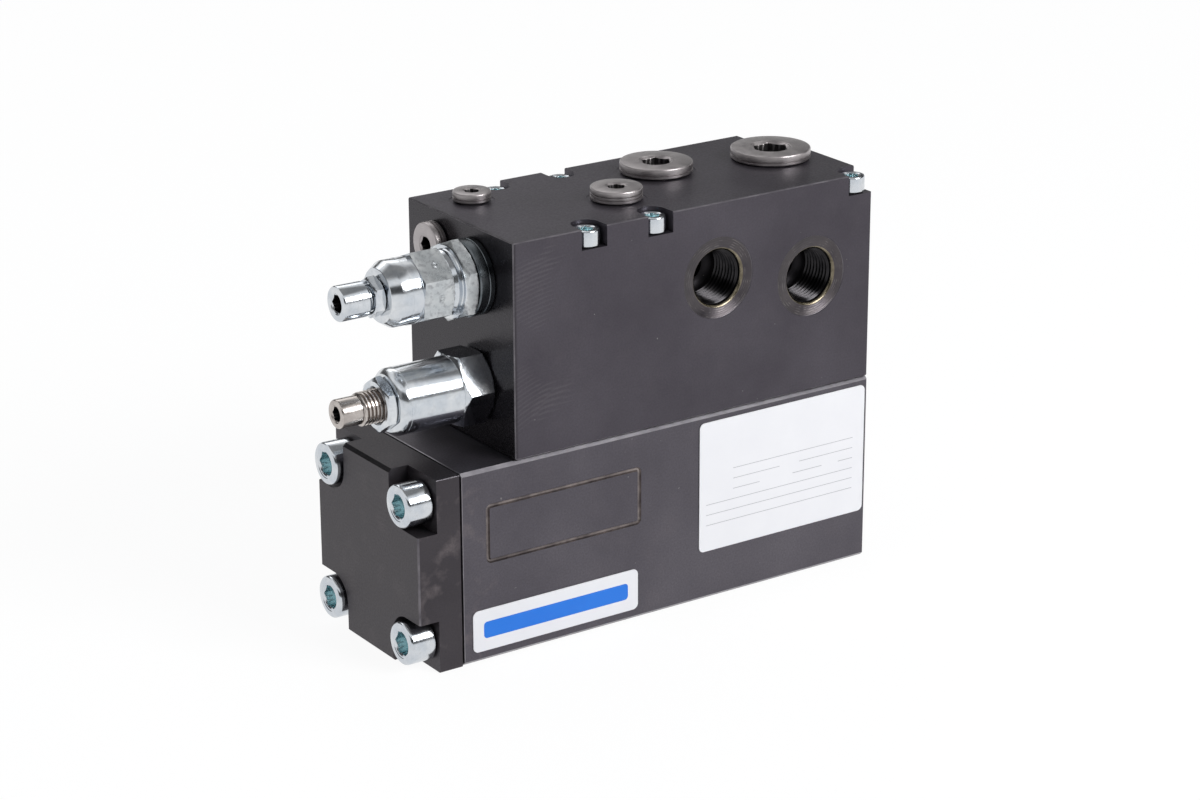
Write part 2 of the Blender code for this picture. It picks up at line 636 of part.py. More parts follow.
def cut_plug_holes(made):
    floors = {"small": RELIEF_Z, "mini": MANIFOLD_TOP - END_PLUG_DROP}
    for size in ("small", "mini"):
        x, y = top_plug_place(size)
        thread_radius, thread_depth = TOP_PLUGS[size][2:4]
        steps = [(thread_depth + PLUG_HOLE_RUNOUT, thread_radius + GAP), (MANIFOLD_TOP - floors[size], GALLERY_RADIUS)]
        cut(made, hole(f"{size}_plug_hole", (x, y, MANIFOLD_TOP), (0, 0, -1), steps, SMALL_SIDES))
    x, y = top_plug_place("medium")
    thread_radius, thread_depth = TOP_PLUGS["medium"][2:4]
    steps = [(thread_depth + PLUG_HOLE_RUNOUT, thread_radius + GAP), (MANIFOLD_TOP - SPOOL_FLOOR_Z, SPOOL_BORE_RADIUS)]
    cut(made, hole("spool_bore", (x, y, MANIFOLD_TOP), (0, 0, -1), steps, SMALL_SIDES))
    x, y = top_plug_place("large")
    thread_radius, thread_depth = TOP_PLUGS["large"][2:4]
    steps = [(thread_depth + PLUG_HOLE_RUNOUT, thread_radius + GAP), (MANIFOLD_TOP - DUMP_FLOOR_Z, DUMP_BORE_RADIUS),
             (MANIFOLD_TOP - PILOT_FLOOR_Z, PILOT_BORE_RADIUS)]
    cut(made, hole("dump_bore", (x, y, MANIFOLD_TOP), (0, 0, -1), steps, SMALL_SIDES))
    place = (MANIFOLD_LEFT, END_PLUG_Y, MANIFOLD_TOP - END_PLUG_DROP)
    reach = MINI_PLUG_FROM_FACE + GALLERY_RADIUS
    steps = [(END_PLUG[3] + PLUG_HOLE_RUNOUT, END_PLUG[2] + GAP), (reach, GALLERY_RADIUS)]
    cut(made, hole("end_plug_hole", place, (1, 0, 0), steps, SMALL_SIDES))


def cut_valve_cavities(made):
    furthest = max(SMALL_PLUG_FROM_FACE, RELIEF_OUTLET_FROM_FACE)
    reach = {"relief": furthest + GALLERY_RADIUS, "sequence": check_places()["right"] - MANIFOLD_LEFT}
    for name, z in (("relief", RELIEF_Z), ("sequence", SEQUENCE_Z)):
        steps = [(CAVITY_DEPTH, CAVITY_RADIUS), (NOSE_CAVITY_DEPTH, NOSE_CAVITY_RADIUS),
                 (reach[name], GALLERY_RADIUS)]
        cut(made, hole(f"{name}_cavity", (MANIFOLD_LEFT, VALVE_Y, z), (1, 0, 0), steps, MEDIUM_SIDES))


def port_places():
    b_x = top_plug_place("medium")[0] - PORT_B_FROM_PLUG
    a_x = top_plug_place("large")[0] - PORT_A_FROM_PLUG
    return {"b": (b_x, MANIFOLD_TOP - PORT_B_DROP), "a": (a_x, MANIFOLD_TOP - PORT_A_DROP)}


def outlet_places():
    """The outlets in the back face: one off each valve's gallery."""
    relief_x = MANIFOLD_LEFT + RELIEF_OUTLET_FROM_FACE
    return {"relief": (relief_x, RELIEF_Z), "pressure": (check_places()["right"], SEQUENCE_Z)}


def cut_ports(made):
    bores = {"b": top_plug_place("medium"), "a": top_plug_place("large")}
    for name, (x, z) in port_places().items():
        reach = bores[name][1] - FRONT
        steps = [(PORT_FACE_DEPTH, PORT_FACE_RADIUS), (PORT_DEPTH, PORT_RADIUS), (reach, PORT_DRILL_RADIUS)]
        cut(made, hole(f"port_{name}", (x, FRONT, z), (0, 1, 0), steps))
    for name, (x, z) in outlet_places().items():
        end = VALVE_Y if name == "relief" else CHECK_Y
        steps = [(PORT_FACE_DEPTH, OUTLET_FACE_RADIUS), (OUTLET_DEPTH, OUTLET_RADIUS),
                 (BACK - end + HIGH_PRESSURE_DRILL, HIGH_PRESSURE_DRILL)]
        cut(made, hole(f"outlet_{name}", (x, BACK, z), (0, -1, 0), steps))


def make_plugs(steel):
    for size, sizes in TOP_PLUGS.items():
        x, y = top_plug_place(size)
        sides = SIDES if size in ("large", "medium") else MEDIUM_SIDES
        screw_plug(f"top_plug_{size}", steel, (x, y, MANIFOLD_TOP), (0, 0, 1), sizes, sides)
    place = (MANIFOLD_LEFT, END_PLUG_Y, MANIFOLD_TOP - END_PLUG_DROP)
    screw_plug("end_plug", steel, place, (-1, 0, 0), END_PLUG, MEDIUM_SIDES)


def make_intensifier(steel, zinc, rubber):
    """The stepped piston between its two glands, with its seals."""
    half_head = PISTON_HEAD / 2
    groove = SEAL_SECTION
    tip = half_head + PLUNGER_LENGTH
    head_radius = BORE_RADIUS - GAP
    rings = [(-tip, PLUNGER_RADIUS - 0.0016), (-tip + 0.001, PLUNGER_RADIUS - GAP)]
    rings += [(-half_head, PLUNGER_RADIUS - GAP), (-half_head, head_radius)]
    rings += [(-groove, head_radius), (-groove, head_radius - groove)]
    rings += [(-distance, radius) for distance, radius in reversed(rings)]
    stack("intensifier_piston", rings, steel, (PISTON_X, 0, BORE_Z), (1, 0, 0), (0, -1, 0), MEDIUM_SIDES)
    ring("piston_seal", rubber, (PISTON_X - groove + GAP, 0, BORE_Z), (1, 0, 0),
         head_radius - groove + GAP, head_radius, 2 * (groove - GAP), MEDIUM_SIDES)
    for side, start, inward in (("left", LEFT_GLAND_X, 1), ("right", RIGHT_GLAND_X + GLAND_LENGTH, -1)):
        seal_start = GLAND_LENGTH - 3 * SEAL_SECTION
        seal_end = GLAND_LENGTH - 2 * SEAL_SECTION
        bore = PLUNGER_RADIUS
        rings = [(0, BORE_RADIUS - GAP), (GLAND_LENGTH, BORE_RADIUS - GAP), (GLAND_LENGTH, bore),
                 (seal_end, bore), (seal_end, bore + SEAL_SECTION), (seal_start, bore + SEAL_SECTION),
                 (seal_start, bore), (0, bore)]
        made = stack(f"{side}_gland", rings, zinc, (start, 0, BORE_Z), (inward, 0, 0), (0, -1, 0),
                     MEDIUM_SIDES, hollow=True)
        port_x = start + inward * GLAND_PORT_INSET
        cut(made, hole(f"{side}_gland_port", (port_x, CHECK_Y, BORE_Z + BORE_RADIUS), (0, 0, -1),
                       [(BORE_RADIUS - PLUNGER_RADIUS * 0.5, GLAND_PORT_RADIUS)], DRILL_SIDES))
        ring(f"{side}_plunger_seal", rubber, (start + inward * (seal_start + GAP), 0, BORE_Z), (inward, 0, 0),
             bore, bore + SEAL_SECTION - GAP, SEAL_SECTION - 2 * GAP, MEDIUM_SIDES)
    seal_x = JOINT_X + SPIGOT_LENGTH - SEAL_SECTION * 2 + GAP
    ring("end_cover_seal", rubber, (seal_x, 0, BORE_Z), (1, 0, 0), BORE_RADIUS - SEAL_SECTION + GAP,
         BORE_RADIUS - GAP, SEAL_SECTION - 2 * GAP, MEDIUM_SIDES)


def make_check_valves(steel, zinc, rubber):
    floor = CYLINDER_HEIGHT - CHECK_DEPTH + GAP
    seat_top = floor + CHECK_SEAT_HEIGHT
    sink = math.sqrt((CHECK_BALL_RADIUS + GAP) ** 2 - CHECK_HOLE_RADIUS ** 2)
    ball_z = seat_top + sink
    for side, x in check_places().items():
        seat = [(0, CHECK_RADIUS - GAP), (CHECK_SEAT_HEIGHT, CHECK_RADIUS - GAP),
                (CHECK_SEAT_HEIGHT, CHECK_HOLE_RADIUS), (0, CHECK_HOLE_RADIUS)]
        stack(f"{side}_check_seat", seat, steel, (x, CHECK_Y, floor), (0, 0, 1), sides=SMALL_SIDES, hollow=True)
        ball = []
        for index in range(1, 8):
            angle = math.pi * index / 8
            ball.append((-CHECK_BALL_RADIUS * math.cos(angle), CHECK_BALL_RADIUS * math.sin(angle)))
        stack(f"{side}_check_ball", ball, zinc, (x, CHECK_Y, ball_z), (0, 0, 1), sides=SMALL_SIDES)
        rest = ball_z + CHECK_BALL_RADIUS * 0.72
        spring(f"{side}_check_spring", zinc, (x, CHECK_Y, rest), (0, 0, 1), CHECK_BALL_RADIUS * 0.85,
               CHECK_SPRING_WIRE, MANIFOLD_BOTTOM - GAP - rest, 3)
        ring(f"{side}_check_seal", rubber, (x, CHECK_Y, CYLINDER_HEIGHT - FACE_SEAL_DEPTH), (0, 0, 1),
             CHECK_RADIUS + GAP, FACE_SEAL_RADIUS - GAP, FACE_SEAL_DEPTH, SMALL_SIDES)


def make_directional_valve(steel, zinc):
    x, y = top_plug_place("medium")
    plug_end = MANIFOLD_TOP - TOP_PLUGS["medium"][3]
    radius = SPOOL_BORE_RADIUS - GAP
    top = plug_end - GAP
    middle = top - SPOOL_LENGTH / 2
    land = SPOOL_LENGTH / 5
    rings = []
    for index in range(5):
        size = radius if index % 2 == 0 else SPOOL_GROOVE_RADIUS
        start = -SPOOL_LENGTH / 2 + index * land
        rings += [(start, size), (start + land, size)]
    stack("directional_spool", rings, steel, (x, y, middle), (0, 0, 1), sides=SMALL_SIDES)
    start = SPOOL_FLOOR_Z + GAP
    spring("spool_spring", zinc, (x, y, start), (0, 0, 1), radius * 0.75, VALVE_SPRING_WIRE,
           middle - SPOOL_LENGTH / 2 - GAP - start, 4)


def make_dump_valve(steel, zinc):
    x, y = top_plug_place("large")
    floor = DUMP_FLOOR_Z + GAP
    seat_top = floor + DUMP_SEAT_HEIGHT
    seat = [(0, DUMP_BORE_RADIUS - GAP), (DUMP_SEAT_HEIGHT, DUMP_BORE_RADIUS - GAP),
            (DUMP_SEAT_HEIGHT, DUMP_SEAT_HOLE_RADIUS), (0, DUMP_SEAT_HOLE_RADIUS)]
    stack("dump_seat", seat, steel, (x, y, floor), (0, 0, 1), sides=SMALL_SIDES, hollow=True)
    guide = DUMP_BORE_RADIUS - GAP
    nose = DUMP_SEAT_HOLE_RADIUS - GAP
    rings = [(-0.001, nose - 0.001), (0, nose), (GAP, DUMP_POPPET_RADIUS - 0.002),
             (0.002, DUMP_POPPET_RADIUS), (0.004, DUMP_POPPET_RADIUS), (0.004, guide),
             (DUMP_POPPET_LENGTH * 0.6, guide), (DUMP_POPPET_LENGTH * 0.6, nose), (DUMP_POPPET_LENGTH, nose)]
    stack("dump_poppet", rings, steel, (x, y, seat_top), (0, 0, 1), sides=SMALL_SIDES)
    start = seat_top + DUMP_POPPET_LENGTH * 0.6 + GAP
    plug_end = MANIFOLD_TOP - TOP_PLUGS["large"][3]
    spring("dump_spring", zinc, (x, y, start), (0, 0, 1), guide * 0.7, VALVE_SPRING_WIRE,
           plug_end - GAP - start, 4)
    pin_top = seat_top - 0.001 - GAP
    base = PILOT_FLOOR_Z + GAP
    pin = DUMP_SEAT_HOLE_RADIUS / 2
    rings = [(0, PILOT_BORE_RADIUS - GAP), (PILOT_PISTON_LENGTH, PILOT_BORE_RADIUS - GAP),
             (PILOT_PISTON_LENGTH, pin), (pin_top - base, pin)]
    stack("dump_pilot_piston", rings, steel, (x, y, base), (0, 0, 1), sides=SMALL_SIDES)


def valve_shapes():
    """Each valve's outside, from its seat outwards. Rings are (out, size[, "hex"])."""
    start = COLLAR_LENGTH + GAP
    flange_end = start + RELIEF_FLANGE_LENGTH
    neck_end = flange_end + RELIEF_NECK_LENGTH
    hex_end = neck_end + RELIEF_HEX_LENGTH
    barrel_end = hex_end + RELIEF_BARREL_LENGTH
    relief_end = barrel_end + RELIEF_CONE_LENGTH
    relief = {
        "z": RELIEF_Z,
        "turn": RELIEF_TURN_DEG,
        "outside": [(start, RELIEF_FLANGE_FLATS / 2, "hex"), (flange_end, RELIEF_FLANGE_FLATS / 2, "hex"),
                    (flange_end, RELIEF_NECK_RADIUS), (neck_end, RELIEF_NECK_RADIUS),
                    (neck_end, RELIEF_HEX_FLATS / 2, "hex"), (hex_end, RELIEF_HEX_FLATS / 2, "hex"),
                    (hex_end, RELIEF_BARREL_RADIUS - VALVE_STEP), (barrel_end, RELIEF_BARREL_RADIUS),
                    (relief_end, RELIEF_CONE_RADIUS)],
        "nut_flats": RELIEF_NUT_FLATS,
        "shank": RELIEF_SHANK_RADIUS,
        "shank_end": relief_end + RELIEF_SHANK_SHOWN,
        "barrel": RELIEF_KNOB_RADIUS,
        "barrel_length": RELIEF_KNOB_LENGTH,
        "socket": RELIEF_SOCKET_FLATS,
    }
    hex_end = GAP + SEQUENCE_HEX_LENGTH
    barrel_end = hex_end + SEQUENCE_BARREL_LENGTH
    sequence_end = barrel_end + SEQUENCE_CONE_LENGTH
    sequence = {
        "z": SEQUENCE_Z,
        "turn": SEQUENCE_TURN_DEG,
        "outside": [(GAP, SEQUENCE_HEX_FLATS / 2, "hex"), (hex_end, SEQUENCE_HEX_FLATS / 2, "hex"),
                    (hex_end, SEQUENCE_BARREL_RADIUS), (barrel_end, SEQUENCE_BARREL_RADIUS),
                    (sequence_end, SEQUENCE_CONE_RADIUS)],
        "nut_flats": SEQUENCE_NUT_FLATS,
        "shank": SEQUENCE_SHANK_RADIUS,
        "shank_end": sequence_end + SEQUENCE_SHANK_SHOWN,
        "barrel": SEQUENCE_KNOB_RADIUS,
        "barrel_length": SEQUENCE_KNOB_LENGTH,
        "socket": SEQUENCE_SOCKET_FLATS,
    }
    return {"relief": relief, "sequence": sequence}


def make_cartridge_valve(name, sizes, zinc, dark, rubber):
    place = (MANIFOLD_LEFT, VALVE_Y, sizes["z"])
    out = (-1, 0, 0)
    zero = (0, -1, 0)
    clearance = sizes["shank"] + GAP
    outside = sizes["outside"]
    face = outside[-1][0]
    neck = VALVE_THREAD_RADIUS - VALVE_SEAL_DEPTH
    body = [(-VALVE_THREAD_DEPTH, VALVE_THREAD_RADIUS - THREAD_START_CHAMFER),
            (-VALVE_THREAD_DEPTH + THREAD_START_CHAMFER, VALVE_THREAD_RADIUS),
            (-VALVE_SEAL_DEPTH * 2, VALVE_THREAD_RADIUS), (-VALVE_SEAL_DEPTH * 2, neck), (outside[0][0], neck),
            *outside,
            (face, clearance), (CHAMBER_OUT, clearance), (CHAMBER_OUT, CHAMBER_RADIUS),
            (-VALVE_THREAD_DEPTH, CHAMBER_RADIUS)]
    stack(f"{name}_valve_body", body, zinc, place, out, zero, MEDIUM_SIDES, math.radians(sizes["turn"]),
          hollow=True)
    seat_edge = 0.001
    cage = [(-CAGE_NOSE, CAGE_RADIUS - THREAD_START_CHAMFER), (-CAGE_NOSE + THREAD_START_CHAMFER, CAGE_RADIUS),
            (-CAGE_SEAT, CAGE_RADIUS), (-CAGE_SEAT, CAGE_HOLE_RADIUS + seat_edge),
            (-CAGE_SEAT - seat_edge, CAGE_HOLE_RADIUS), (-CAGE_NOSE, CAGE_HOLE_RADIUS)]
    cage_object = stack(f"{name}_valve_cage", cage, dark, place, out, zero, SMALL_SIDES, hollow=True)
    middle = (MANIFOLD_LEFT + (CAGE_NOSE + VALVE_THREAD_DEPTH) / 2, VALVE_Y - CAGE_RADIUS, sizes["z"])
    cut(cage_object, hole(f"{name}_cage_side_hole", middle, (0, 1, 0), [(CAGE_RADIUS * 2.3, CAGE_SIDE_HOLE_RADIUS)],
                          DRILL_SIDES))
    nut_start = face + GAP
    nut_end = nut_start + NUT_LENGTH
    nut_half = sizes["nut_flats"] / 2
    nut_rim = nut_half * 1.02
    nut_bore = clearance / math.cos(math.pi / SMALL_SIDES)
    nut = [(nut_start, nut_rim), (nut_start + NUT_EDGE, nut_half, "hex"), (nut_end - NUT_EDGE, nut_half, "hex"),
           (nut_end, nut_rim), (nut_end, nut_bore), (nut_start, nut_bore)]
    stack(f"{name}_lock_nut", nut, zinc, place, out, zero, SMALL_SIDES, math.radians(NUT_TURN_DEG), hollow=True)
    tip = SPRING_SEAT_OUT + SPRING_SEAT_THICKNESS + GAP
    shank_end = sizes["shank_end"]
    knob = sizes["barrel"]
    screw_end = shank_end + sizes["barrel_length"]
    socket = sizes["socket"] / 2
    screw = [(tip, sizes["shank"] - SCREW_POINT), (tip + SCREW_POINT, sizes["shank"]), (shank_end, sizes["shank"]),
             (shank_end + VALVE_STEP, knob), (screw_end - KNOB_EDGE, knob), (screw_end, knob - KNOB_EDGE),
             (screw_end, socket, "hex"), (screw_end - VALVE_SOCKET_DEPTH, socket, "hex")]
    stack(f"{name}_adjusting_screw", screw, zinc, place, out, zero, MEDIUM_SIDES)
    seat = [(SPRING_SEAT_OUT - PILOT_LENGTH, PILOT_RADIUS), (SPRING_SEAT_OUT, PILOT_RADIUS),
            (SPRING_SEAT_OUT, SPRING_SEAT_RADIUS), (SPRING_SEAT_OUT + SPRING_SEAT_THICKNESS, SPRING_SEAT_RADIUS)]
    stack(f"{name}_spring_seat", seat, dark, place, out, zero, SMALL_SIDES)
    base = -CAGE_SEAT
    shoulder = base + POPPET_LENGTH * POPPET_GUIDE_SHARE
    guide = CHAMBER_RADIUS - GAP
    poppet = [(base - POPPET_NOSE, CAGE_HOLE_RADIUS - seat_edge * 1.5),
              (base + GAP, CAGE_HOLE_RADIUS + seat_edge * 0.9),
              (base + seat_edge, POPPET_RADIUS), (base + seat_edge, guide), (shoulder, guide),
              (shoulder, PILOT_RADIUS), (base + POPPET_LENGTH, PILOT_RADIUS)]
    stack(f"{name}_poppet", poppet, dark, place, out, zero, SMALL_SIDES)
    coil_place = (MANIFOLD_LEFT - shoulder - GAP, VALVE_Y, sizes["z"])
    spring(f"{name}_spring", zinc, coil_place, out, VALVE_SPRING_RADIUS, VALVE_SPRING_WIRE,
           SPRING_SEAT_OUT - shoulder - 2 * GAP, VALVE_SPRING_TURNS)
    seal_place = (MANIFOLD_LEFT + VALVE_SEAL_DEPTH + GAP, VALVE_Y, sizes["z"])
    ring(f"{name}_valve_seal", rubber, seal_place, out, neck + GAP, CAVITY_RADIUS - GAP, VALVE_SEAL_DEPTH,
         MEDIUM_SIDES)


def make_relief_collar(dark):
    ring("relief_valve_collar", dark, (MANIFOLD_LEFT - GAP, VALVE_Y, RELIEF_Z), (-1, 0, 0),
         VALVE_THREAD_RADIUS, COLLAR_RADIUS, COLLAR_LENGTH - GAP)


def make_plates(film):
    front = FRONT - PLATE_GAP
    for name, (left, right, bottom, top) in (("data_plate", DATA_PLATE), ("front_label", FRONT_LABEL)):
        outline = rounded_rectangle(MANIFOLD_LEFT + left, MANIFOLD_LEFT + right, bottom, top, PLATE_CORNER)
        prism(name, outline, front - PLATE_THICKNESS, front, "Y", film)


def main():
    clear_scene()
    look = materials()
    make_cylinder_block(look["black_steel"])
    make_end_cover(look["black_steel"])
    make_cover_screws(look["zinc_steel"])
    make_manifold_block(look["black_steel"])
    make_manifold_screws(look["zinc_steel"])
    make_plugs(look["machined_steel"])
    make_intensifier(look["machined_steel"], look["dark_steel"], look["seal_rubber"])
    make_check_valves(look["machined_steel"], look["zinc_steel"], look["seal_rubber"])
    make_directional_valve(look["machined_steel"], look["zinc_steel"])
    make_dump_valve(look["machined_steel"], look["zinc_steel"])
    for name, sizes in valve_shapes().items():
        make_cartridge_valve(name, sizes, look["zinc_steel"], look["dark_steel"], look["seal_rubber"])
    make_relief_collar(look["dark_steel"])
    make_plates(look["white_film"])


main()
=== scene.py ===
"""Looks of the hydraulic pressure intensifier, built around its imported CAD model.

Units are metres in the CAD frame: +X from the end cover to the plain end, -Y the front, +Z up.
A turned piece is made around its own Z axis, so its material can draw lathe marks around that axis.
"""

import math

import bmesh
import bpy
from mathutils import Matrix, Vector


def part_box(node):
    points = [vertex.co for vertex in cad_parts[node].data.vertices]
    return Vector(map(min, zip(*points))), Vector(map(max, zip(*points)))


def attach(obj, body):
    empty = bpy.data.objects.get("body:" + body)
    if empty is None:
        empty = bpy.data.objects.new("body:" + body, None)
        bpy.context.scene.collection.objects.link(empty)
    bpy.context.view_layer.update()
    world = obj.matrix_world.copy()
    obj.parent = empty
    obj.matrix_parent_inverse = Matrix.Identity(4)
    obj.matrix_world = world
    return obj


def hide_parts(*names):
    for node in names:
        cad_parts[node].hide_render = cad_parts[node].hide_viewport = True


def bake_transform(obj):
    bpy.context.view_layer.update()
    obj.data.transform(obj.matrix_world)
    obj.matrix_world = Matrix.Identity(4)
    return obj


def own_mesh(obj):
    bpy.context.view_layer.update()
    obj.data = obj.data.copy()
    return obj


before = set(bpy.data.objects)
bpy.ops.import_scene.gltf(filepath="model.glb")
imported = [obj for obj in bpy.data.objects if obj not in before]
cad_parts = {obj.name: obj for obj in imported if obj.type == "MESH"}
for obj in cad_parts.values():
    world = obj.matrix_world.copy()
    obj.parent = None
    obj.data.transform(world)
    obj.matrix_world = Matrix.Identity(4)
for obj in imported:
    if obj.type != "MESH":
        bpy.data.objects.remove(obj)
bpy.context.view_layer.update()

# The photograph's camera
CAMERA_PLACE = (-0.6341, -0.9329, 0.4820)
CAMERA_TARGET = (0.0010, -0.0001, 0.0739)
CAMERA_ROLL = -0.21             # degrees
CAMERA_LENS = 96.73

# Places that the pieces share, as the CAD has them
FRONT = -0.035
BACK = 0.035
COVER_LEFT = -0.100
JOINT_X = -0.082                # between the cover and the cylinder section
RIGHT = 0.100
MANIFOLD_LEFT = -0.059
MANIFOLD_TOP = 0.154
CYLINDER_TOP = 0.0735
VALVE_Y = -0.0101
RELIEF_Z = 0.1360
SEQUENCE_Z = 0.0959
GAP = 0.0003                    # under a collar that is screwed against a face
PAST = 0.003                    # of a cutter, beyond the face that it opens

OUT_LEFT = (-1, 0, 0)
OUT_RIGHT = (1, 0, 0)
OUT_FRONT = (0, -1, 0)
OUT_BACK = (0, 1, 0)
UP = (0, 0, 1)
DOWN = (0, 0, -1)
ALONG = {"X": OUT_RIGHT, "Y": OUT_BACK, "Z": UP}
HERE = Matrix.Identity(4)       # for a mesh that is made in its place

# Standard screws, and the ports with their facing, bore, thread and first drilling
M10 = dict(radius=0.005, length=0.030, head_radius=0.008, head_height=0.010, flats=0.008)
M6 = dict(radius=0.003, length=0.085, head_radius=0.005, head_height=0.006, flats=0.005)
INLET = dict(face=0.0153, bore=0.01042, crest=0.00945, pitch=0.001814,
             depth=0.0181, threaded=0.0165, drill=0.00608)
OUTLET = dict(face=0.0096, bore=0.00668, crest=0.00595, pitch=0.001337,
              depth=0.0151, threaded=0.0140, drill=0.00203)

# Screw plugs: collar radius and height, thread radius and depth, key's flats, grooves
PLUGS = {
    "top_plug_large": (0.01515, 0.0043, 0.0130, 0.014, 0.012, (0.42,)),
    "top_plug_medium": (0.0137, 0.0043, 0.0103, 0.013, 0.010, (0.42,)),
    "top_plug_small": (0.0096, 0.0050, 0.0066, 0.012, 0.006, (0.36, 0.60)),
    "top_plug_mini": (0.0070, 0.0039, 0.0048, 0.008, 0.005, (0.45,)),
    "end_plug": (0.0085, 0.0050, 0.0060, 0.009, 0.006, (0.30, 0.55)),
}

SIDES = 72                      # of a turned piece, a multiple of 6 so that hexagons are exact
BLOCK_EDGE = 0.0014             # no rounded or broken edge of a block is wider


def centre(node):
    """The middle of a CAD node's box."""
    low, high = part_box(node)
    return (low + high) / 2


# Materials
class Nodes:
    """A node tree, with short ways to add and join its nodes."""

    def __init__(self, tree):
        self.tree = tree

    def add(self, kind, **values):
        node = self.tree.nodes.new(kind)
        for key, value in values.items():
            setattr(node, key, value)
        return node

    def link(self, source, target):
        self.tree.links.new(source, target)

    def fill(self, socket, value):
        """Gives a socket a number, a colour or another socket's value."""
        if isinstance(value, (int, float)):
            socket.default_value = value
        elif isinstance(value, tuple):
            socket.default_value = (*value, 1.0)
        else:
            self.link(value, socket)

    def range(self, value, low, high, to_low, to_high):
        node = self.add("ShaderNodeMapRange")
        names = ("Value", "From Min", "From Max", "To Min", "To Max")
        for name, given in zip(names, (value, low, high, to_low, to_high)):
            self.fill(node.inputs[name], given)
        return node.outputs["Result"]

    def math(self, operation, first, second):
        node = self.add("ShaderNodeMath", operation=operation)
        self.fill(node.inputs[0], first)
        self.fill(node.inputs[1], second)
        return node.outputs["Value"]

    def times(self, first, second):
        return self.math("MULTIPLY", first, second)

    def mix(self, factor, first, second):
        """Two colours, each a tuple or a socket."""
        node = self.add("ShaderNodeMix", data_type="RGBA")
        for index, value in ((0, factor), (6, first), (7, second)):
            self.fill(node.inputs[index], value)
        return node.outputs[2]


class Look(Nodes):
    """A principled material with its nodes at hand."""

    def __init__(self, name, metallic=0.0, roughness=0.5):
        self.material = bpy.data.materials.new(name)
        self.material.use_nodes = True
        super().__init__(self.material.node_tree)
        self.shader = self.tree.nodes["Principled BSDF"]
        self.shader.inputs["Metallic"].default_value = metallic
        self.shader.inputs["Roughness"].default_value = roughness
        self.place = self.add("ShaderNodeTexCoord").outputs["Object"]

    def shifted(self, x, z):
        """The coordinates with their origin moved to x and z."""
        mapping = self.add("ShaderNodeMapping")
        mapping.inputs["Location"].default_value = (-x, 0.0, -z)
        self.link(self.place, mapping.inputs["Vector"])
        return mapping.outputs["Vector"]

    def noise(self, scale, detail):
        node = self.add("ShaderNodeTexNoise")
        for name, value in (("Scale", scale), ("Detail", detail), ("Roughness", 0.55)):
            node.inputs[name].default_value = value
        self.link(self.place, node.inputs["Vector"])
        return node.outputs["Fac"]

    def wave(self, kind, period, direction, distortion, detail_scale, place):
        """A wave of scale 1 repeats every 0.314 m."""
        node = self.add("ShaderNodeTexWave", wave_type=kind, rings_direction=direction,
                        bands_direction=direction)
        values = (("Scale", 0.314 / period), ("Distortion", distortion), ("Detail", 2.0),
                  ("Detail Scale", detail_scale))
        for name, value in values:
            node.inputs[name].default_value = value
        self.link(place, node.inputs["Vector"])
        return node.outputs["Fac"]

    def rings(self, period, direction, distortion, place=None):
        """Lathe marks around an axis."""
        return self.wave("RINGS", period, direction, distortion, 1.5, place or self.place)

    def bands(self, period, direction, distortion):
        """Milling marks that follow each other along an axis."""
        return self.wave("BANDS", period, direction, distortion, 1.2, self.place)

    def finish(self, colour, rough, height, strength, distance):
        """Joins the colour, the roughness and a bump to the shader, and gives the material."""
        bump = self.add("ShaderNodeBump")
        bump.inputs["Strength"].default_value = strength
        bump.inputs["Distance"].default_value = distance
        self.link(height, bump.inputs["Height"])
        self.link(bump.outputs["Normal"], self.shader.inputs["Normal"])
        self.link(colour, self.shader.inputs["Base Color"])
        self.link(rough, self.shader.inputs["Roughness"])
        return self.material


